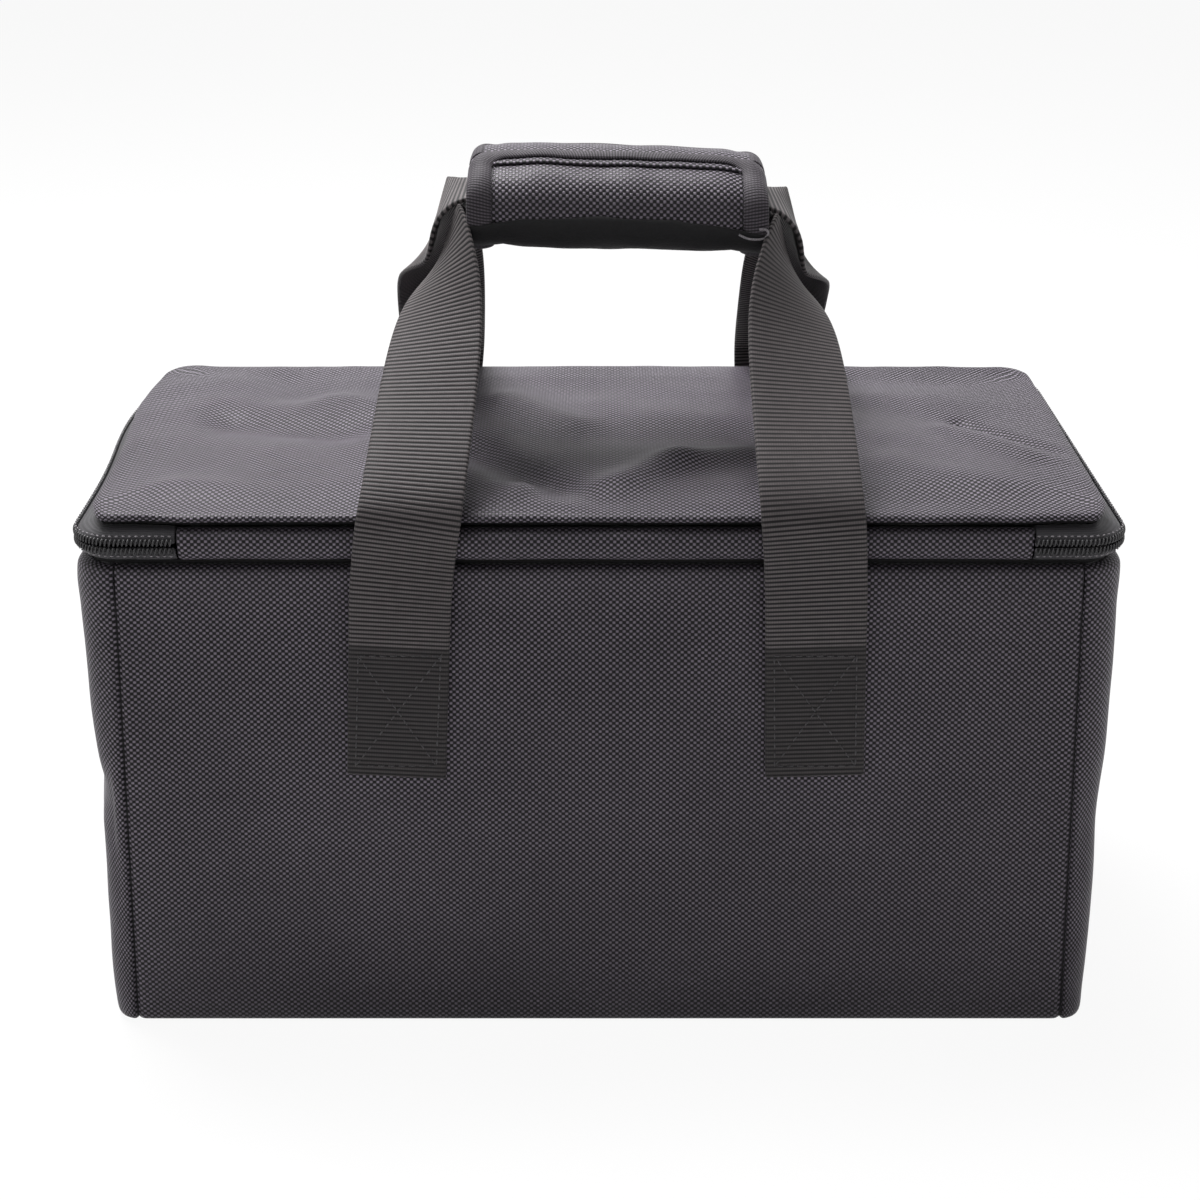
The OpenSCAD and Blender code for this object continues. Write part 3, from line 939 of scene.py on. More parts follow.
@dataclass
class Lining:
    """The fire-resistant tub inside the body and the tape over the rim.

    Attributes:
        outline: The bag's outline.
        inset: Outer face of the lining's wall.
        floor_z: Top of the lining's floor.
        rim_z: Top of the lining's wall.
    """

    outline: Outline
    inset: float = 5.4
    floor_z: float = 6.2
    rim_z: float = 131.0

    def slack(self, station: float, z: float, _side: float) -> float:
        """The cloth stands a little off the foam, most in the middle of a wall."""
        spot, _ = self.outline.point(station, 0, z)
        corner = 1 if station % 2 < 1 else 0
        calm = step(self.floor_z, 20, z) * step(self.rim_z, 118, z)
        return corner * calm * (0.4 + 0.5 * soft_noise(spot.x, spot.y, z + 50, 26))

    def floor(self) -> bpy.types.Object:
        """Lining over the base board, with a seam ditch round it."""
        columns, rows = 70, 36

        def place(i: int, j: int) -> Spot:
            """Point of the floor."""
            x, y = mix(-123.6, 123.6, i / columns), mix(-58.6, 58.6, j / rows)
            edge = min(123.6 - abs(x), 58.6 - abs(y))
            z = mix(5.7, 6.5, step(0, 5, edge)) + 0.3 * step(0, 12, edge) * soft_noise(x, y, 90, 28)
            return Vector((x, y, z)), (x, y)

        piece = grid_piece("lining_floor", columns, rows, place, core=Vector((0, 0, -200)))
        thicken(piece, 0.5)
        return piece

    def build(self, finishes: Finishes) -> None:
        """Makes the tub and the rim tape."""
        stations = self.outline.stations(0, 7.999999, 3.0)
        rows = 40
        heights = [mix(self.floor_z - 0.6, self.rim_z, j / rows) for j in range(rows + 1)]
        wall = band_piece(
            "lining_wall", self.outline, stations, [(self.inset, z) for z in heights], self.slack, wrapped=True
        )
        thicken(wall, 0.8)
        dress(wall, finishes.lining, Slot.LINING, "body", ["body_lining"])
        dress(self.floor(), finishes.lining, Slot.LINING, "body")
        hem = [(6.8, 124.0), (7.0, 124.6), (6.95, 127.5), (6.9, 130.5), (6.6, 131.8), (5.8, 132.5), (4.9, 132.4),
               (4.3, 131.9), (4.2, 131.0)]
        tape = band_piece("rim_tape", self.outline, stations, hem, wrapped=True)
        thicken(tape, 0.4)
        soften(tape)
        dress(tape, finishes.grosgrain, Slot.BINDING, "body", ["rim_binding"])
        path = [self.outline.point(s, 7.1, 126)[0] for s in stations]
        dress(stitch_piece("rim_stitches", [StitchRun(path)]), finishes.dark_thread, Slot.BINDING, "body")


# ---- zip band ----


@dataclass
class ZipBand:
    """The hinge gusset and the two halves of the zip.

    Attributes:
        outline: The bag's outline.
        left_x: Left end of the gusset.
        right_x: Right end of the gusset.
        pitch: Distance from one turn of a coil to the next.
        coil_out: How far a coil's middle stands outside the outline.
        coil_half: Half the height of a coil's turn, to the middle of its wire.
    """

    outline: Outline
    left_x: float = -102.8
    right_x: float = 105.8
    pitch: float = 1.05
    coil_out: float = 0.62
    coil_half: float = 0.78
    wire: float = 0.27

    def zip_ends(self) -> tuple[float, float]:
        """Stations where the zip starts and ends, on the hinge side."""
        reach = self.outline.half_l - self.outline.radius
        return (self.right_x + reach) / (2 * reach), 8 + (self.left_x + reach) / (2 * reach)

    def gusset(self) -> bpy.types.Object:
        """Soft cloth hinge with its two ends folded under."""
        profile = [(3.3, 132.9), (1.9, 132.8), (0.9, 133.2), (0.1, 134.1), (-0.45, 135.5), (-0.75, 137.0),
                   (-0.75, 138.4), (-0.4, 139.5), (0.3, 140.4), (1.4, 140.9), (3.3, 141.0)]
        rise = [0.0]
        for (i0, z0), (i1, z1) in zip(profile, profile[1:]):
            rise.append(rise[-1] + math.hypot(i1 - i0, z1 - z0))
        columns = 96

        def place(i: int, j: int) -> Spot:
            """Point of the gusset."""
            f = i / columns
            x = mix(self.left_x, self.right_x, 0.5 - math.cos(f * math.pi) / 2 * 0.35 + (f - 0.5) * 0.65)
            inset, z = profile[j]
            end = min(x - self.left_x, self.right_x - x)
            inset += 0.5 * (1 - step(0, 1.2, end)) - 0.25 * hill(end - 1.6, 1.2)
            inset += 0.3 * step(0, 8, end) * soft_noise(x, 0, z, 16)
            return Vector((x, -self.outline.half_w + inset, z)), (x, rise[j])

        piece = grid_piece("hinge_gusset", columns, len(profile) - 1, place, core=MIDDLE)
        thicken(piece, 0.9)
        soften(piece)
        settle(piece)
        return piece

    def coil(self, name: str, middle_z: float, phase: float) -> bpy.types.Object:
        """One row of coil.

        Args:
            name: The piece's name.
            middle_z: Height of the row's middle.
            phase: Where in its turn the row starts.

        Returns:
            The new object.
        """
        start, end = (self.outline.run(s) for s in self.zip_ends())
        per_turn = 8
        path = []
        for i in range(int((end - start) / self.pitch) * per_turn):
            angle = math.tau * i / per_turn + phase
            station = self.outline.station(start + i / per_turn * self.pitch)
            _, outward = self.outline.point(station, 0, middle_z)
            out = mix(self.coil_out, 0.3, abs(outward.x)) + 0.34 * math.cos(angle)
            spot, _ = self.outline.point(station, -out, middle_z)
            path.append(spot + Vector((0, 0, self.coil_half * math.sin(angle))))
        return tube_piece(name, path, self.wire, 5)

    def build(self, finishes: Finishes) -> None:
        """Makes the band's pieces."""
        start, end = self.zip_ends()
        stations = self.outline.stations(start, end, 3.0)
        low = [(3.4, 132.7), (1.6, 132.8), (0.7, 133.5), (0.2, 134.4), (0.0, 135.4), (0.0, 136.7)]
        high = [(0.0, 137.3), (0.0, 138.6), (0.2, 139.6), (0.8, 140.5), (1.7, 141.1), (3.2, 141.4)]

        def draw_in(station: float, z: float, _side: float) -> float:
            """On the ends and the far side the tape slopes in to the lid's seam."""
            spot, out = self.outline.point(station, 0, z)
            return Lid.seam_shift(spot, out) * step(138.4, 141.4, z)

        for name, profile, relief, body, node in (
            ("lower_tape", low, None, "body", "lower_zip_tape"),
            ("upper_tape", high, draw_in, "lid", "upper_zip_tape"),
        ):
            tape = band_piece(name, self.outline, stations, profile, relief)
            thicken(tape, 0.6)
            soften(tape)
            dress(tape, finishes.zip_tape, Slot.TAPE, body, [node])
        for name, middle_z, phase, body, node in (
            ("lower_coil", 135.95, 0.0, "body", "lower_zip_coil"),
            ("upper_coil", 138.05, math.pi, "lid", "upper_zip_coil"),
        ):
            dress(self.coil(name, middle_z, phase), finishes.coil, Slot.COIL, body, [node])
        for name, z, body in (("lower_zip_stitches", 134.4, "body"), ("upper_zip_stitches", 139.6, "lid")):
            path = [self.outline.point(s, -0.1, z)[0] for s in stations]
            run = StitchRun(path, pitch=1.6, length=1.0, radius=0.2)
            dress(stitch_piece(name, [run]), finishes.thread, Slot.TAPE, body)
        gusset = dress(self.gusset(), finishes.oxford, Slot.SKIN, None, ["lower_gusset", "upper_gusset"])
        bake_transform(gusset)


# ---- lid ----


@dataclass
class Lid:
    """The lid's crowned skin and its lining.

    Attributes:
        outline: The bag's outline.
        columns: Faces along the skin.
        rows: Faces across it.
        edge: For some distances along the cloth from its seam, the inset and the height.
        folds: Ridges and dents of the slack cloth.
    """

    outline: Outline
    columns: int = 136
    rows: int = 76
    edge: tuple[tuple[float, float, float], ...] = (
        (0.0, 3.3, 142.5), (0.7, 1.8, 142.4), (1.5, 0.8, 142.9), (2.6, 0.7, 143.8), (4.4, 1.8, 144.6),
        (9.0, 6.6, 145.2), (20.0, 20.0, 146.0),
    )
    folds: list[Fold] = field(default_factory=lambda: [
        Fold((-98, 6), (-70, -4), 9.0, -1.3),
        Fold((-74, 22), (-56, 12), 7.0, 0.8),
        Fold((-104, -48), (-86, -54), 8.0, 0.7),
        Fold((-90, 50), (-84, 30), 9.0, -0.7),
        Fold((-34, -18), (-6, -50), 7.0, -1.4),
        Fold((-28, -64), (-18, -46), 4.0, 0.9),
        Fold((-10, -58), (20, -28), 6.0, 1.0),
        Fold((20, -28), (38, -22), 7.0, 0.8),
        Fold((4, -4), (36, -8), 12.0, -0.9),
        Fold((-26, 22), (-8, 2), 8.0, 0.8),
        Fold((98, 6), (118, -20), 2.6, -0.9),
        Fold((94, 0), (112, -24), 5.0, 0.6),
        Fold((74, -30), (98, -46), 9.0, 0.5),
        Fold((60, 50), (125, 50), 16.0, -0.8),
        Fold((66, 20), (90, 8), 12.0, -0.7),
    ])

    @staticmethod
    def seam_shift(spot: Vector, out: Vector) -> float:
        """How far the lid's seam lies inside its place at the middle of the hinge side.

        Args:
            spot: Point of the lid's edge.
            out: Outward direction there.

        Returns:
            The distance.
        """
        end = (4.4 - 1.4 * step(-50, 40, spot.y)) * step(0, 1, abs(out.x))
        return max(end, 0.8 * step(103, 112, abs(spot.x)), 2.0 * step(0, 50, spot.y))

    def shape(self, x: float, y: float) -> Vector:
        """Point of the lid's skin over a point of the plan.

        Args:
            x: Along the length.
            y: Across the width.

        Returns:
            The point.
        """
        x, y = self.outline.round_corner(x, y)
        d, out = self.outline.edge(x, y)
        k = max(i for i in range(len(self.edge) - 1) if d >= self.edge[i][0] or i == 0)
        f = min(1.0, (d - self.edge[k][0]) / (self.edge[k + 1][0] - self.edge[k][0]))
        inset, z = (mix(a, b, f) for a, b in zip(self.edge[k][1:], self.edge[k + 1][1:]))
        shift = (0.0 if d > self.edge[-1][0] else inset - d) + self.seam_shift(Vector((x, y, 0)), out) * (1 - step(0, 11, d))
        loose = step(3.0, 12.0, d)
        z += 0.9 * step(14, 64, d)
        z += step(3.0, 22.0, d) * 2.3 * sum(f.height(x, y) for f in self.folds)
        z -= loose * 0.9 * hill(math.hypot(x - 118, y - 52), 44)
        z += loose * (0.6 * soft_noise(x, y, 7, 40) + 0.2 * soft_noise(x, y, 31, 15))
        z += 0.2 * hill(d - 3, 2.5) * soft_noise(x, y, 60, 7)
        pulled = self.outline.swell(x, y, z) * step(30, 0, d) - self.outline.end_draw * abs(out.x) * step(12, 0, d)
        return Vector((x, y, z)) + out * (pulled - shift)

    def skin(self) -> bpy.types.Object:
        """The lid's outer cloth."""

        def spread(f: float) -> float:
            """Evens a share of the grid, with more rows near both edges."""
            return 0.35 * (2 * f - 1) + 0.65 * math.sin(math.pi / 2 * (2 * f - 1))

        def place(i: int, j: int) -> Spot:
            """Point of the lid."""
            x = self.outline.half_l * spread(i / self.columns)
            y = self.outline.half_w * spread(j / self.rows)
            return self.shape(x, y), (x, y)

        piece = grid_piece("lid_skin", self.columns, self.rows, place, core=MIDDLE)
        thicken(piece, 0.9)
        soften(piece)
        return piece

    def core(self) -> bpy.types.Object:
        """Foam under the skin, which gives way where the cloth dips."""
        columns, rows = 60, 32

        def place(i: int, j: int) -> Spot:
            """Point of the foam's top."""
            x, y = self.outline.round_corner(mix(-130, 130, i / columns), mix(-65, 65, j / rows))
            top = self.shape(x * 0.94, y * 0.9)
            return Vector((x * 0.94, y * 0.9, top.z - 2.0)), (x, y)

        piece = grid_piece("lid_core", columns, rows, place, core=MIDDLE)
        thicken(piece, 2.6)
        return piece

    def lining(self) -> bpy.types.Object:
        """Lining under the lid, bellied down a little between its edges."""
        columns, rows = 80, 42

        def place(i: int, j: int) -> Spot:
            """Point of the lining."""
            x, y = mix(-123.8, 123.8, i / columns), mix(-58.8, 58.8, j / rows)
            edge = min(123.8 - abs(x), 58.8 - abs(y))
            z = 138.0 - 0.5 * step(0, 10, edge) + 0.15 * step(0, 12, edge) * soft_noise(x, y, 44, 30)
            return Vector((x, y, z)), (x, y)

        piece = grid_piece("lid_inside", columns, rows, place, core=Vector((0, 0, 400)))
        thicken(piece, 0.5)
        return piece

    def build(self, finishes: Finishes) -> None:
        """Makes the lid's pieces."""
        dress(self.skin(), finishes.oxford, Slot.SKIN, "lid", ["lid_panel"])
        dress(self.core(), finishes.foam, Slot.FOAM, "lid", ["lid_foam"])
        dress(self.lining(), finishes.lining, Slot.LINING, "lid", ["lid_lining"])
        stations = self.outline.stations(0, 7.999999, 3.0)
        path = []
        for station in [*stations, stations[0]]:
            spot, out = self.outline.point(station, 0, 142.0)
            path.append(spot - out * (3.9 + self.seam_shift(spot, out)))
        dress(tube_piece("lid_welt", path, 0.8, 8), finishes.black_cloth, Slot.BINDING, "lid")
        hem = [(6.9, 137.9), (6.7, 137.4), (5.6, 137.15), (4.0, 137.15), (2.6, 137.35), (1.7, 137.8), (1.5, 138.8)]
        tape = band_piece("lid_hem", self.outline, stations, hem, wrapped=True)
        thicken(tape, 0.3)
        soften(tape)
        dress(tape, finishes.grosgrain, Slot.BINDING, "lid", ["lid_binding"])
        path = [self.outline.point(s, 6.3, 137.05)[0] for s in stations]
        dress(stitch_piece("lid_hem_stitches", [StitchRun(path)]), finishes.dark_thread, Slot.BINDING, "lid")


# ---- handles ----


@dataclass
class Grip:
    """The padded grip that both handles share.

    Attributes:
        middle_x: Middle of its length.
        length: Its length.
        middle_z: Height of its middle.
        half_y: Half its depth.
        half_z: Half its height.
        power: Squareness of its section: 2 is an ellipse.
        tilt: Rise towards the left end, per millimetre.
        floor_z: Height that the slot for the webbing is measured from.
    """

    middle_x: float = 4.6
    length: float = 76.0
    middle_z: float = 207.6
    half_y: float = 18.0
    half_z: float = 10.7
    power: float = 2.4
    tilt: float = 0.03
    floor_z: float = 197.0

    def lean(self, spot: Vector) -> Vector:
        """Tilts what is near the grip, and leaves what is far below it alone."""
        share = step(165, 203, spot.z)
        return Vector((spot.x, spot.y, spot.z - share * self.tilt * (spot.x - self.middle_x)))

    def section(self, angle: float, lift: float = 0.0) -> tuple[float, float]:
        """Depth and height of the grip's surface.

        Args:
            angle: 0 at the far edge, a quarter turn at the top and half a turn at the near edge.
            lift: How far outside the surface.

        Returns:
            y and z.
        """
        c, s = math.cos(angle), math.sin(angle)
        y = math.copysign(abs(c) ** (2 / self.power), c) * (self.half_y + lift)
        z = math.copysign(abs(s) ** (2 / self.power), s) * (self.half_z + lift)
        return y, self.middle_z + z

    def swell(self, x: float) -> float:
        """How far the padding swells at a place along the grip."""
        end = self.length / 2 - abs(x - self.middle_x)
        return 0.5 * step(4, 18, end) - 0.5 * hill(end - 6.5, 2.0)

    def surface(self, x: float, angle: float, lift: float) -> Vector:
        """Point on or above the grip's surface."""
        wave = 0.25 * soft_noise(x, angle * 14, 3, 9) * step(5, 12, self.length / 2 - abs(x - self.middle_x))
        y, z = self.section(angle, lift + self.swell(x) + wave)
        end = min(1.0, max(0.0, self.length / 2 - abs(x - self.middle_x)) / 7)
        drop = 3.2 * (1 - math.sqrt(1 - (1 - end) ** 2)) * max(0.0, (z - self.middle_z) / self.half_z) ** 2
        return self.lean(Vector((x, y, z - drop)))

    def angle_at(self, y: float) -> float:
        """Angle of the top's surface point at a depth."""
        return math.acos(math.copysign(min(1.0, abs(y) / self.half_y) ** (self.power / 2), y))

    def arcs(self, start: float, end: float, count: int) -> list[float]:
        """Angles that divide a stretch of the section evenly by length.

        Args:
            start: First angle.
            end: Last angle.
            count: Number of parts.

        Returns:
            The angles.
        """
        fine = 600
        angles = [mix(start, end, i / fine) for i in range(fine + 1)]
        reach = [0.0]
        for a, b in zip(angles, angles[1:]):
            (y0, z0), (y1, z1) = self.section(a), self.section(b)
            reach.append(reach[-1] + math.hypot(y1 - y0, z1 - z0))
        kept, i = [], 0
        for part in range(count + 1):
            while i < fine and reach[i] < reach[-1] * part / count - 1e-9:
                i += 1
            kept.append(angles[i])
        return kept

    def girth(self, start: float, end: float) -> float:
        """Length of a stretch of the section."""
        marks = [self.section(mix(start, end, i / 200)) for i in range(201)]
        return sum(math.hypot(b[0] - a[0], b[1] - a[1]) for a, b in zip(marks, marks[1:]))

    @staticmethod
    def rim(half: float, up: float, corner: float) -> list[tuple[float, float]]:
        """Points of one edge of a bound cover, from foot to foot.

        Args:
            half: Half its length.
            up: Its height along the section.
            corner: Radius of its two corners.

        Returns:
            Points of x and distance up the section.
        """
        points = [(-half, (up - corner) * i / 30) for i in range(30)]
        points += [
            (-half + corner - corner * math.cos(a), up - corner + corner * math.sin(a))
            for a in (math.pi / 2 * i / 10 for i in range(11))
        ]
        points += [(mix(-half + corner, half - corner, i / 40), up) for i in range(1, 20)]
        return points + [(0.0, up)] + [(-px, py) for px, py in reversed(points)]

    def rim_line(self, foot: float, edge: float, widths: tuple[float, float],
                 lift: Callable[[float], float]) -> list[Vector]:
        """Line that follows a bound cover's edge at some distance inside it."""
        girth = self.girth(foot, edge)
        angles = self.arcs(foot, edge, 400)
        line = []
        for x, up in self.rim(self.length / 2 - widths[0], girth - widths[1], 3.5):
            angle = angles[round(min(1.0, max(0.0, up / girth)) * 400)]
            depth, _ = self.section(angle)
            line.append(self.surface(self.middle_x + x, angle, lift(depth)))
        return line

    def u_band(
        self,
        name: str,
        foot: float,
        edge: float,
        lift: Callable[[float], float],
        widths: tuple[float, float],
        inset: float = 0.0,
    ) -> bpy.types.Object:
        """Tape bound round three edges of a cover, with rounded corners.

        Args:
            name: The piece's name.
            foot: Angle where its two legs start.
            edge: Angle of the edge that joins them.
            lift: How far it lies above the grip's surface, for a depth.
            widths: Width of the legs and of the joining part.
            inset: How far its outer edge lies inside the grip's ends.

        Returns:
            The new object.
        """
        girth = self.girth(foot, edge)
        angles = self.arcs(foot, edge, 400)
        half = self.length / 2 - inset

        outer = self.rim(half, girth, 6.0)
        inner = self.rim(half - widths[0], girth - widths[1], 3.5)
        across = 6
        reach = [0.0]
        for a, b in zip(outer, outer[1:]):
            reach.append(reach[-1] + math.hypot(b[0] - a[0], b[1] - a[1]))

        def place(i: int, j: int) -> Spot:
            """Point of the tape."""
            f = j / across
            x = mix(outer[i][0], inner[i][0], f)
            up = mix(outer[i][1], inner[i][1], f)
            angle = angles[round(min(1.0, max(0.0, up / girth)) * 400)]
            round_off = 0.5 * math.sin(math.pi * f) ** 0.5
            depth, _ = self.section(angle)
            spot = self.surface(self.middle_x + x, angle, lift(depth) + round_off)
            return spot, (reach[i], f * widths[0])

        piece = grid_piece(
            name, len(outer) - 1, across, place, core=Vector((self.middle_x, 0, self.middle_z))
        )
        thicken(piece, 0.6)
        soften(piece)
        return piece


@dataclass
class Handle:
    """One handle: a length of webbing, sewn to one wall at both ends, and its half of the grip.

    Attributes:
        side: The wall that it is sewn to.
        grip: The grip.
        neck: Distance from the grip's middle to a leg's neck.
        bend_r: Radius of the turn from the neck into the grip.
        bow_y: How far from the bag's middle the legs pass the band.
        neck_z: Height of the necks.
        shift_y: Middle of the webbing in the grip, off the grip's middle.
    """

    side: Side
    grip: Grip
    neck: float
    bend_r: float
    bow_y: float
    neck_z: float
    shift_y: float = 2.0
    width: float = 25.0
    half_t: float = 0.64
    rib: float = 1.17
    rib_rise: float = 0.08
    leg_x: float = 1.6
    leg_span: float = 106.0
    hug_y: float = 65.95
    sewn_z: float = 75.0
    fold_z: float = 111.0
    wall_h: float = 132.0
    lean_z: float = 150.0
    easing: int = 22

    @property
    def name(self) -> str:
        """Name of the handle's side."""
        return self.side.name.lower()

    def leg_at(self, hand: int, f: float) -> float:
        """x of a leg, from its sewn end at 0 to its neck at 1."""
        return mix(self.leg_x + hand * self.leg_span / 2, self.grip.middle_x + hand * self.neck, f)

    def leg(self, hand: int) -> list[Key]:
        """Points of one leg from its sewn end to where it lies flat in the grip.

        Args:
            hand: -1 for the left leg and 1 for the right.

        Returns:
            Points of x, y, z and turn, with y as on the hinge side.
        """
        neck_y = self.shift_y + 3
        at = self.leg_at
        keys: list[Key] = [
            (at(hand, 0.15), -self.hug_y, self.fold_z + 0.6, 0),
            (at(hand, 0.20), -mix(self.hug_y, self.bow_y, 0.7), mix(self.fold_z, self.wall_h, 0.55), 0),
            (at(hand, 0.30), -self.bow_y, self.wall_h + 3, 0),
            (at(hand, 0.46), -self.bow_y, self.lean_z - 2, 0),
            (at(hand, 0.70), -mix(self.bow_y, neck_y, 0.42), mix(self.lean_z, self.neck_z, 0.42), 17),
            (at(hand, 0.83), -mix(self.bow_y, neck_y, 0.67), mix(self.lean_z, self.neck_z, 0.68), 40),
            (at(hand, 0.94), -mix(self.bow_y, neck_y, 0.88), mix(self.lean_z, self.neck_z, 0.90), 74),
            (at(hand, 1.00), -neck_y, self.neck_z, 90),
        ]
        tail: list[Key] = [
            (mix(at(hand, 0), at(hand, 0.15), i / 30), -self.hug_y, mix(self.sewn_z, self.fold_z + 0.6, i / 30), 0)
            for i in range(30)
        ]
        bend: list[Key] = [
            (
                at(hand, 1) - hand * self.bend_r * (1 - math.cos(math.radians(a))),
                -mix(neck_y, self.shift_y, min(1, a / 45)),
                self.neck_z + self.bend_r * math.sin(math.radians(a)),
                90,
            )
            for a in range(5, 95, 5)
        ]
        return tail + glide(keys, 20) + bend

    def track(self) -> list[tuple[Vector, Vector, Vector, float]]:
        """Middle, width direction, face direction and run of the webbing, a quarter rib apart."""
        left, right = self.leg(-1), self.leg(1)
        keys = left + right[::-1]
        points = [Vector(k[:3]) for k in keys]
        last = len(points) - 1
        wides = []
        for i, key in enumerate(keys):
            hand = -1 if i < len(left) else 1
            run = (points[min(i + 1, last)] - points[max(i - 1, 0)]).normalized()
            turn = math.radians(key[3])
            wide = Vector((hand * math.cos(turn), math.sin(turn), 0))
            wides.append((wide - run * wide.dot(run)).normalized())
        points, wides = self.eased(points, wides)
        reach = [0.0]
        for a, b in zip(points, points[1:]):
            reach.append(reach[-1] + (b - a).length)
        count = round(reach[-1] / (self.rib / 4))
        track = []
        k = 0
        for i in range(count + 1):
            due = reach[-1] * i / count
            while k < last - 1 and reach[k + 1] < due:
                k += 1
            f = (due - reach[k]) / (reach[k + 1] - reach[k])
            spot = self.grip.lean(points[k].lerp(points[k + 1], f))
            wide = wides[k].lerp(wides[k + 1], f).normalized()
            run = (points[k + 1] - points[k]).normalized()
            track.append((self.turned(spot), self.turned(wide), self.turned(run.cross(wide).normalized()), due))
        return track

    def eased(self, points: list[Vector], wides: list[Vector]) -> tuple[list[Vector], list[Vector]]:
        """Evens the steps along the webbing and rounds its kinks and twists.

        Args:
            points: The webbing's middle.
            wides: Its width directions.

        Returns:
            Both, a millimetre apart, with the sewn ends as they were.
        """
        reach = [0.0]
        for a, b in zip(points, points[1:]):
            reach.append(reach[-1] + (b - a).length)
        count = round(reach[-1])
        even_points, even_wides = [], []
        k = 0
        for i in range(count + 1):
            due = reach[-1] * i / count
            while k < len(points) - 2 and reach[k + 1] < due:
                k += 1
            f = (due - reach[k]) / (reach[k + 1] - reach[k])
            even_points.append(points[k].lerp(points[k + 1], f))
            even_wides.append(wides[k].lerp(wides[k + 1], f))
        sewn = round(self.fold_z - self.sewn_z)
        for _ in range(self.easing):
            for line in (even_points, even_wides):
                line[sewn:-sewn] = [
                    (line[i - 1] + line[i] * 2 + line[i + 1]) / 4 for i in range(sewn, len(line) - sewn)
                ]
        last = len(even_points) - 1
        for i, wide in enumerate(even_wides):
            run = (even_points[min(i + 1, last)] - even_points[max(i - 1, 0)]).normalized()
            even_wides[i] = (wide - run * wide.dot(run)).normalized()
        return even_points, even_wides

    def turned(self, v: Vector) -> Vector:
        """Turns a vector of the hinge side's handle to this side."""
        return Vector((v.x, -v.y * self.side.value, v.z))

    def webbing(self) -> bpy.types.Object:
        """The whole length of webbing, with its ribs."""
        track = self.track()
        edge = [(-1.0, 0.35), (-0.985, 0.8), (-0.94, 1.0), (-0.6, 1.0), (-0.2, 1.0)]
        top = edge + [(-a, h) for a, h in reversed(edge)]
        ring = [(a, h) for a, h in top] + [(a, -h) for a, h in reversed(top)]

        def place(i: int, j: int) -> Spot:
            """Point j of the webbing's section at a station."""
            spot, wide, face, run = track[i]
            across, high = ring[j % len(ring)]
            ribbed = 1 if abs(across) < 0.93 else 0.3
            half = self.half_t + ribbed * self.rib_rise * math.cos(math.tau * run / self.rib)
            a = across * self.width / 2
            return spot + wide * a + face * high * half, (a, min(run, track[-1][3] - run))

        return grid_piece(f"{self.name}_webbing", len(track) - 1, len(ring), place, wrapped=True, capped=True)

    def box_stitches(self) -> list[StitchRun]:
        """Box and cross that sew the two tails to the wall."""
        runs = []
        y = self.side.value * (self.hug_y + self.half_t + 0.08)
        for hand in (-1, 1):
            low, high = self.leg_at(hand, 0), self.leg_at(hand, 0.15)
            corners = [
                Vector((x + side * 10.2, y, z))
                for x, side, z in ((low, -1, 78), (low, 1, 78), (high, 1, 108.5), (high, -1, 108.5))
            ]
            for a, b in ((0, 1), (1, 2), (2, 3), (3, 0), (0, 2), (1, 3)):
                runs.append(StitchRun([corners[a], corners[b]], pitch=2.6, length=2.0, radius=0.2))
        return runs

    def pad(self) -> bpy.types.Object:
        """Half of the grip: cover and padding in one closed form, with the slot for the webbing."""
        grip = self.grip
        top, low, depth, split = 14.05, 7.45, 14.8, 0.2
        near = math.pi if self.side is Side.NEAR else 0.0
        start = grip.angle_at(self.side.value * split)
        skin = grip.arcs(start, 2 * near - start if near else -start, 44)
        base = grip.floor_z
        inner = [(split, low - 3), (split, low), (depth, low), (depth, top), (split, top), (split, top + 3)]
        columns = 48
        ring_count = len(skin) + len(inner)
        lengths = grip.girth(skin[0], skin[-1])

        def place(i: int, j: int) -> Spot:
            """Point j of the pad's section at a place along the grip."""
            j %= ring_count
            x = grip.middle_x + (grip.length / 2 - 0.4) * (
                0.6 * (2 * i / columns - 1) + 0.4 * math.sin(math.pi / 2 * (2 * i / columns - 1))
            )
            if j < len(skin):
                spot = grip.surface(x, skin[j], 0.0)
                return spot, (x, lengths * j / (len(skin) - 1))
            y, z = inner[j - len(skin)]
            spot = grip.lean(Vector((x, self.side.value * y, base + z)))
            return spot, (x, lengths + j)

        return grid_piece(f"{self.name}_grip_pad", columns, ring_count, place, wrapped=True, capped=True)

    def build(self, finishes: Finishes) -> None:
        """Makes the handle's pieces."""
        body = f"{self.name}_handle"
        webbing = dress(
            self.webbing(), finishes.webbing, Slot.WEBBING, None,
            [f"{self.name}_strap", f"{self.name}_strap_tails"],
        )
        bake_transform(webbing)
        dress(
            stitch_piece(f"{self.name}_box_stitches", self.box_stitches()),
            finishes.dark_thread, Slot.WEBBING, "body",
        )
        dress(self.pad(), finishes.oxford, Slot.SKIN, body,
                  [f"{self.name}_grip_foam", f"{self.name}_grip_cover"])


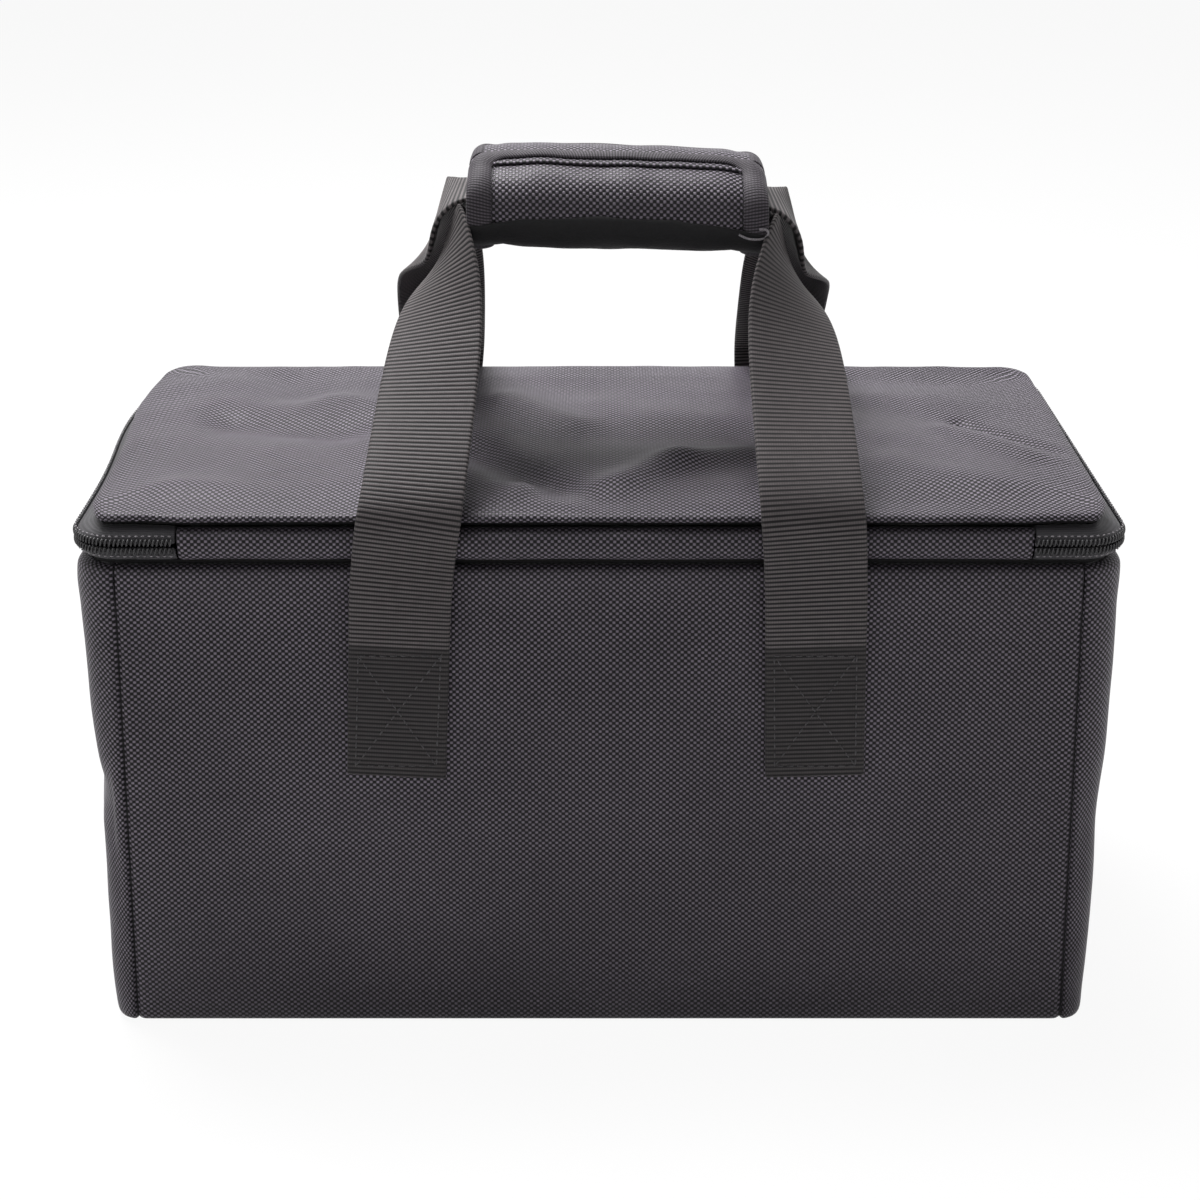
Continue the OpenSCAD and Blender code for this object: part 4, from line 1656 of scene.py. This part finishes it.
@dataclass
class GripTrim:
    """Bindings, flap and closure of the grip.

    Attributes:
        grip: The grip.
        front_y: Depth of the near cover's bound top edge.
        back_y: Depth of the flap's free edge.
    """

    grip: Grip
    front_y: float = -2.5
    back_y: float = 12.5

    def cap(self, name: str, y0: float, y1: float, lift: Callable[[float], float], thickness: float,
            inset: float) -> bpy.types.Object:
        """Strip of cloth over the grip's top.

        Args:
            name: The piece's name.
            y0: Depth where it starts.
            y1: Depth where it ends.
            lift: Its height above the grip's surface at a depth.
            thickness: Its thickness.
            inset: How far it ends inside the grip's ends.

        Returns:
            The new object.
        """
        grip = self.grip
        angles = grip.arcs(grip.angle_at(y0), grip.angle_at(y1), 16)
        girth = grip.girth(angles[0], angles[-1])
        half = grip.length / 2 - inset

        def place(i: int, j: int) -> Spot:
            """Point of the strip."""
            x = grip.middle_x + mix(-half, half, i / 44)
            y, _ = grip.section(angles[j])
            return grip.surface(x, angles[j], lift(y)), (x, girth * j / 16)

        piece = grid_piece(name, 44, 16, place, core=Vector((grip.middle_x, 0, grip.middle_z)))
        thicken(piece, thickness)
        return piece

    def painted_shade_sheet(self, name: str, start: float, stop: float) -> bpy.types.Object:
        """Painted shade: a black sheet over the lower part of one half of the grip, where it falls in shadow, with
        an arched upper edge.

        Args:
            name: The piece's name.
            start: Angle of the half's outermost line.
            stop: Angle of its lowest line.

        Returns:
            The new object.
        """
        grip = self.grip
        angles = grip.arcs(start, stop, 300)
        girth = grip.girth(start, stop)
        half = grip.length / 2 - 0.2
        rows, columns = 14, 44

        def place(i: int, j: int) -> Spot:
            """Point of the cloth."""
            along = mix(-half, half, i / columns)
            edge = 0.6 + 3.4 * (along / half) ** 2 + 0.3 * soft_noise(along, 0, 0, 9)
            down = mix(edge, girth - 0.5, j / rows)
            angle = angles[round(down / girth * 300)]
            lift = 0.5 if half - abs(along) > 7 else 1.1
            return grip.surface(grip.middle_x + along, angle, lift), (along, down)

        piece = grid_piece(name, columns, rows, place, core=Vector((grip.middle_x, 0, grip.middle_z)))
        thicken(piece, 0.5)
        return piece

    def build(self, finishes: Finishes) -> None:
        """Makes the trim's pieces."""
        grip = self.grip
        low = -math.pi / 2

        def over(depth: float) -> float:
            """Height of the flap above the padding."""
            return 0.9 + 1.1 * step(-6, 1, depth)

        def raised(depth: float) -> float:
            """Height of the near cover's binding above the padding."""
            return 0.35 + 1.3 * step(-11, -5, depth)

        foot, top = 2 * math.pi + low, grip.angle_at(self.front_y)
        line = grip.rim_line(foot, top, (6.75, 4.85), lambda depth: 0.4)
        dress(
            stitch_piece("near_cover_stitches", [StitchRun(line, pitch=1.8, length=1.3, radius=0.15)]),
            finishes.black_cloth, Slot.BINDING, "near_handle",
        )
        front = grip.u_band(
            "near_cover_binding", 2 * math.pi + low, grip.angle_at(self.front_y),
            raised, (6.5, 4.6),
        )
        settle(front)
        dress(front, finishes.grosgrain, Slot.BINDING, None, ["near_grip_binding"])
        dress(
            grip.u_band(
                "far_cover_binding", low, grip.angle_at(self.back_y + 1), lambda depth: 0.35, (6.5, 4.2)
            ),
            finishes.grosgrain, Slot.BINDING, "far_handle", ["far_grip_binding"],
        )
        loop = self.cap("loop_tape", 0.4, 10.5, lambda y: 0.5, 0.4, 7.0)
        dress(loop, finishes.fuzz, Slot.HOOK, "far_handle", ["loop_strip"])
        hook = self.cap("hook_tape", 1.5, 10.5, lambda y: 1.0, 0.4, 7.0)
        dress(hook, finishes.fuzz, Slot.HOOK, "grip_flap", ["hook_strip"])
        flap = self.cap("closing_flap", -9.0, self.back_y, over, 0.9, 0.3)
        soften(flap)
        settle(flap)
        dress(flap, finishes.oxford, Slot.SKIN, None, ["grip_flap"])
        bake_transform(flap)
        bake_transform(front)
        edge = grip.u_band(
            "flap_binding", grip.angle_at(self.front_y), grip.angle_at(self.back_y + 0.4),
            lambda depth: over(depth) - 0.1, (4.0, 4.0),
        )
        dress(edge, finishes.grosgrain, Slot.BINDING, "grip_flap")
        # Painted shade: a black sheet over the lower part of each half of the grip.
        for name, side, start, stop in (("near", -1, math.pi, 1.5 * math.pi), ("far", 1, 0.0, low)):
            under = self.painted_shade_sheet(f"{name}_grip_underside", start, stop)
            dress(under, finishes.black_cloth, Slot.SKIN, f"{name}_handle")
        end = grip.middle_x + grip.length / 2
        loose = [(-7.5, -18.4, 203.6), (-5.5, -18.8, 202.8), (-3.2, -18.9, 202.6), (-1.2, -18.8, 203.0),
                 (-0.2, -18.6, 204.2), (-0.9, -18.9, 205.2), (-2.4, -19.4, 205.3)]
        keys = [(end + x, y, z, 0.0) for x, y, z in loose]
        path = [grip.lean(Vector(k[:3])) for k in glide(keys, 6)]
        dress(tube_piece("loose_thread", path, 0.32, 6), finishes.thread, Slot.BINDING, "near_handle")


# ---- what keeps its shape ----


def dress_cad_nodes(finishes: Finishes) -> None:
    """Gives the CAD nodes that stay their materials."""
    kept = {
        finishes.board: ["base_board"],
        finishes.enamel: ["left_slider", "right_slider", "left_pull_tab", "right_pull_tab"],
    }
    for finish, nodes in kept.items():
        for node in nodes:
            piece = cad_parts[node]
            piece.data.materials.clear()
            piece.data.materials.append(finish)


# ---- studio ----


@dataclass
class Studio:
    """Camera, lamps and a plain white floor.

    Attributes:
        eye: The camera's place in millimetres.
        pitch: How far the camera looks down, in degrees.
        lens: Focal length on a 36 mm sensor.
    """

    eye: tuple[float, float, float] = (0.2, -541.9, 324.3)
    pitch: float = 22.9
    lens: float = 63.3

    def camera(self) -> None:
        """Places the camera."""
        data = bpy.data.cameras.new("camera")
        data.lens = self.lens
        data.sensor_width = 36
        data.clip_start = 0.01
        camera = bpy.data.objects.new("camera", data)
        camera.location = Vector(self.eye) * MM
        camera.rotation_euler = (math.radians(90 - self.pitch), 0, 0)
        bpy.context.scene.collection.objects.link(camera)
        bpy.context.scene.camera = camera

    def lamp(self, name: str, place: tuple[float, float, float], size: float, power: float) -> None:
        """Square soft lamp that looks at the bag."""
        data = bpy.data.lights.new(name, "AREA")
        data.size = size
        data.energy = power
        lamp = bpy.data.objects.new(name, data)
        lamp.location = place
        lamp.rotation_euler = (Vector((0, 0, 0.1)) - Vector(place)).to_track_quat("-Z", "Y").to_euler()
        bpy.context.scene.collection.objects.link(lamp)

    def seen(self, tree: bpy.types.NodeTree) -> bpy.types.NodeSocket:
        """1 for what the eye, a mirror or glass shows."""
        path = add_node(tree, "ShaderNodeLightPath")
        first = add_node(
            tree, "ShaderNodeMath", {"operation": "MAXIMUM"},
            {0: path.outputs["Is Camera Ray"], 1: path.outputs["Is Glossy Ray"]},
        ).outputs[0]
        return add_node(
            tree, "ShaderNodeMath", {"operation": "MAXIMUM"},
            {0: first, 1: path.outputs["Is Transmission Ray"]},
        ).outputs[0]

    def world(self) -> None:
        """White behind everything, and a dim even light on the bag."""
        world = bpy.data.worlds.new("studio")
        bpy.context.scene.world = world
        world.use_nodes = True
        tree = world.node_tree
        tree.nodes.clear()
        strength = add_node(
            tree, "ShaderNodeMapRange", inputs={0: self.seen(tree), 1: 0.0, 2: 1.0, 3: 0.06, 4: 1.0}
        ).outputs[0]
        back = add_node(tree, "ShaderNodeBackground", inputs={0: (1, 1, 1, 1), 1: strength})
        add_node(tree, "ShaderNodeOutputWorld", inputs={0: back.outputs[0]})

    def floor(self) -> None:
        """White floor that keeps a faint shadow."""
        bm = bmesh.new()
        bmesh.ops.create_grid(bm, x_segments=1, y_segments=1, size=4)
        floor = link_mesh("floor", bm)
        paper = bpy.data.materials.new("white_paper")
        paper.use_nodes = True
        tree = paper.node_tree
        tree.nodes.clear()
        lit = add_node(tree, "ShaderNodeBsdfDiffuse", inputs={0: linear("FFFFFF")})
        glow = add_node(tree, "ShaderNodeEmission", inputs={0: (1, 1, 1, 1), 1: 1.0})
        share = add_node(
            tree, "ShaderNodeMath", {"operation": "MULTIPLY"}, {0: self.seen(tree), 1: 0.93}
        ).outputs[0]
        both = add_node(
            tree, "ShaderNodeMixShader", inputs={0: share, 1: lit.outputs[0], 2: glow.outputs[0]}
        )
        add_node(tree, "ShaderNodeOutputMaterial", inputs={0: both.outputs[0]})
        floor.data.materials.append(paper)

    def build(self) -> None:
        """Sets the studio up."""
        bpy.context.scene.view_settings.view_transform = "Standard"
        self.camera()
        self.world()
        self.floor()
        self.lamp("top_lamp", (-0.25, 0.35, 1.1), 0.6, 26.0)
        self.lamp("front_lamp", (-0.4, -1.5, 0.9), 1.0, 1.6)
        self.lamp("left_lamp", (-1.3, -0.3, 0.6), 0.8, 2.6)
        self.lamp("right_lamp", (1.3, -0.3, 0.6), 0.8, 2.6)


def main() -> None:
    """Builds the bag, piece by piece, and the studio."""
    logging.basicConfig(level=logging.INFO, format="%(message)s")
    Studio().build()
    finishes = Finishes.make()
    outline = Outline()
    grip = Grip()
    Walls(outline).build(finishes)
    Lining(outline).build(finishes)
    ZipBand(outline).build(finishes)
    Lid(outline).build(finishes)
    Handle(Side.NEAR, grip, neck=42.6, bend_r=6.0, bow_y=67.45, neck_z=199.5).build(finishes)
    Handle(Side.FAR, grip, neck=46.6, bend_r=8.5, bow_y=71.65, neck_z=200.6).build(finishes)
    GripTrim(grip).build(finishes)
    dress_cad_nodes(finishes)
    bpy.context.view_layer.update()


if __name__ == "__main__":
    main()
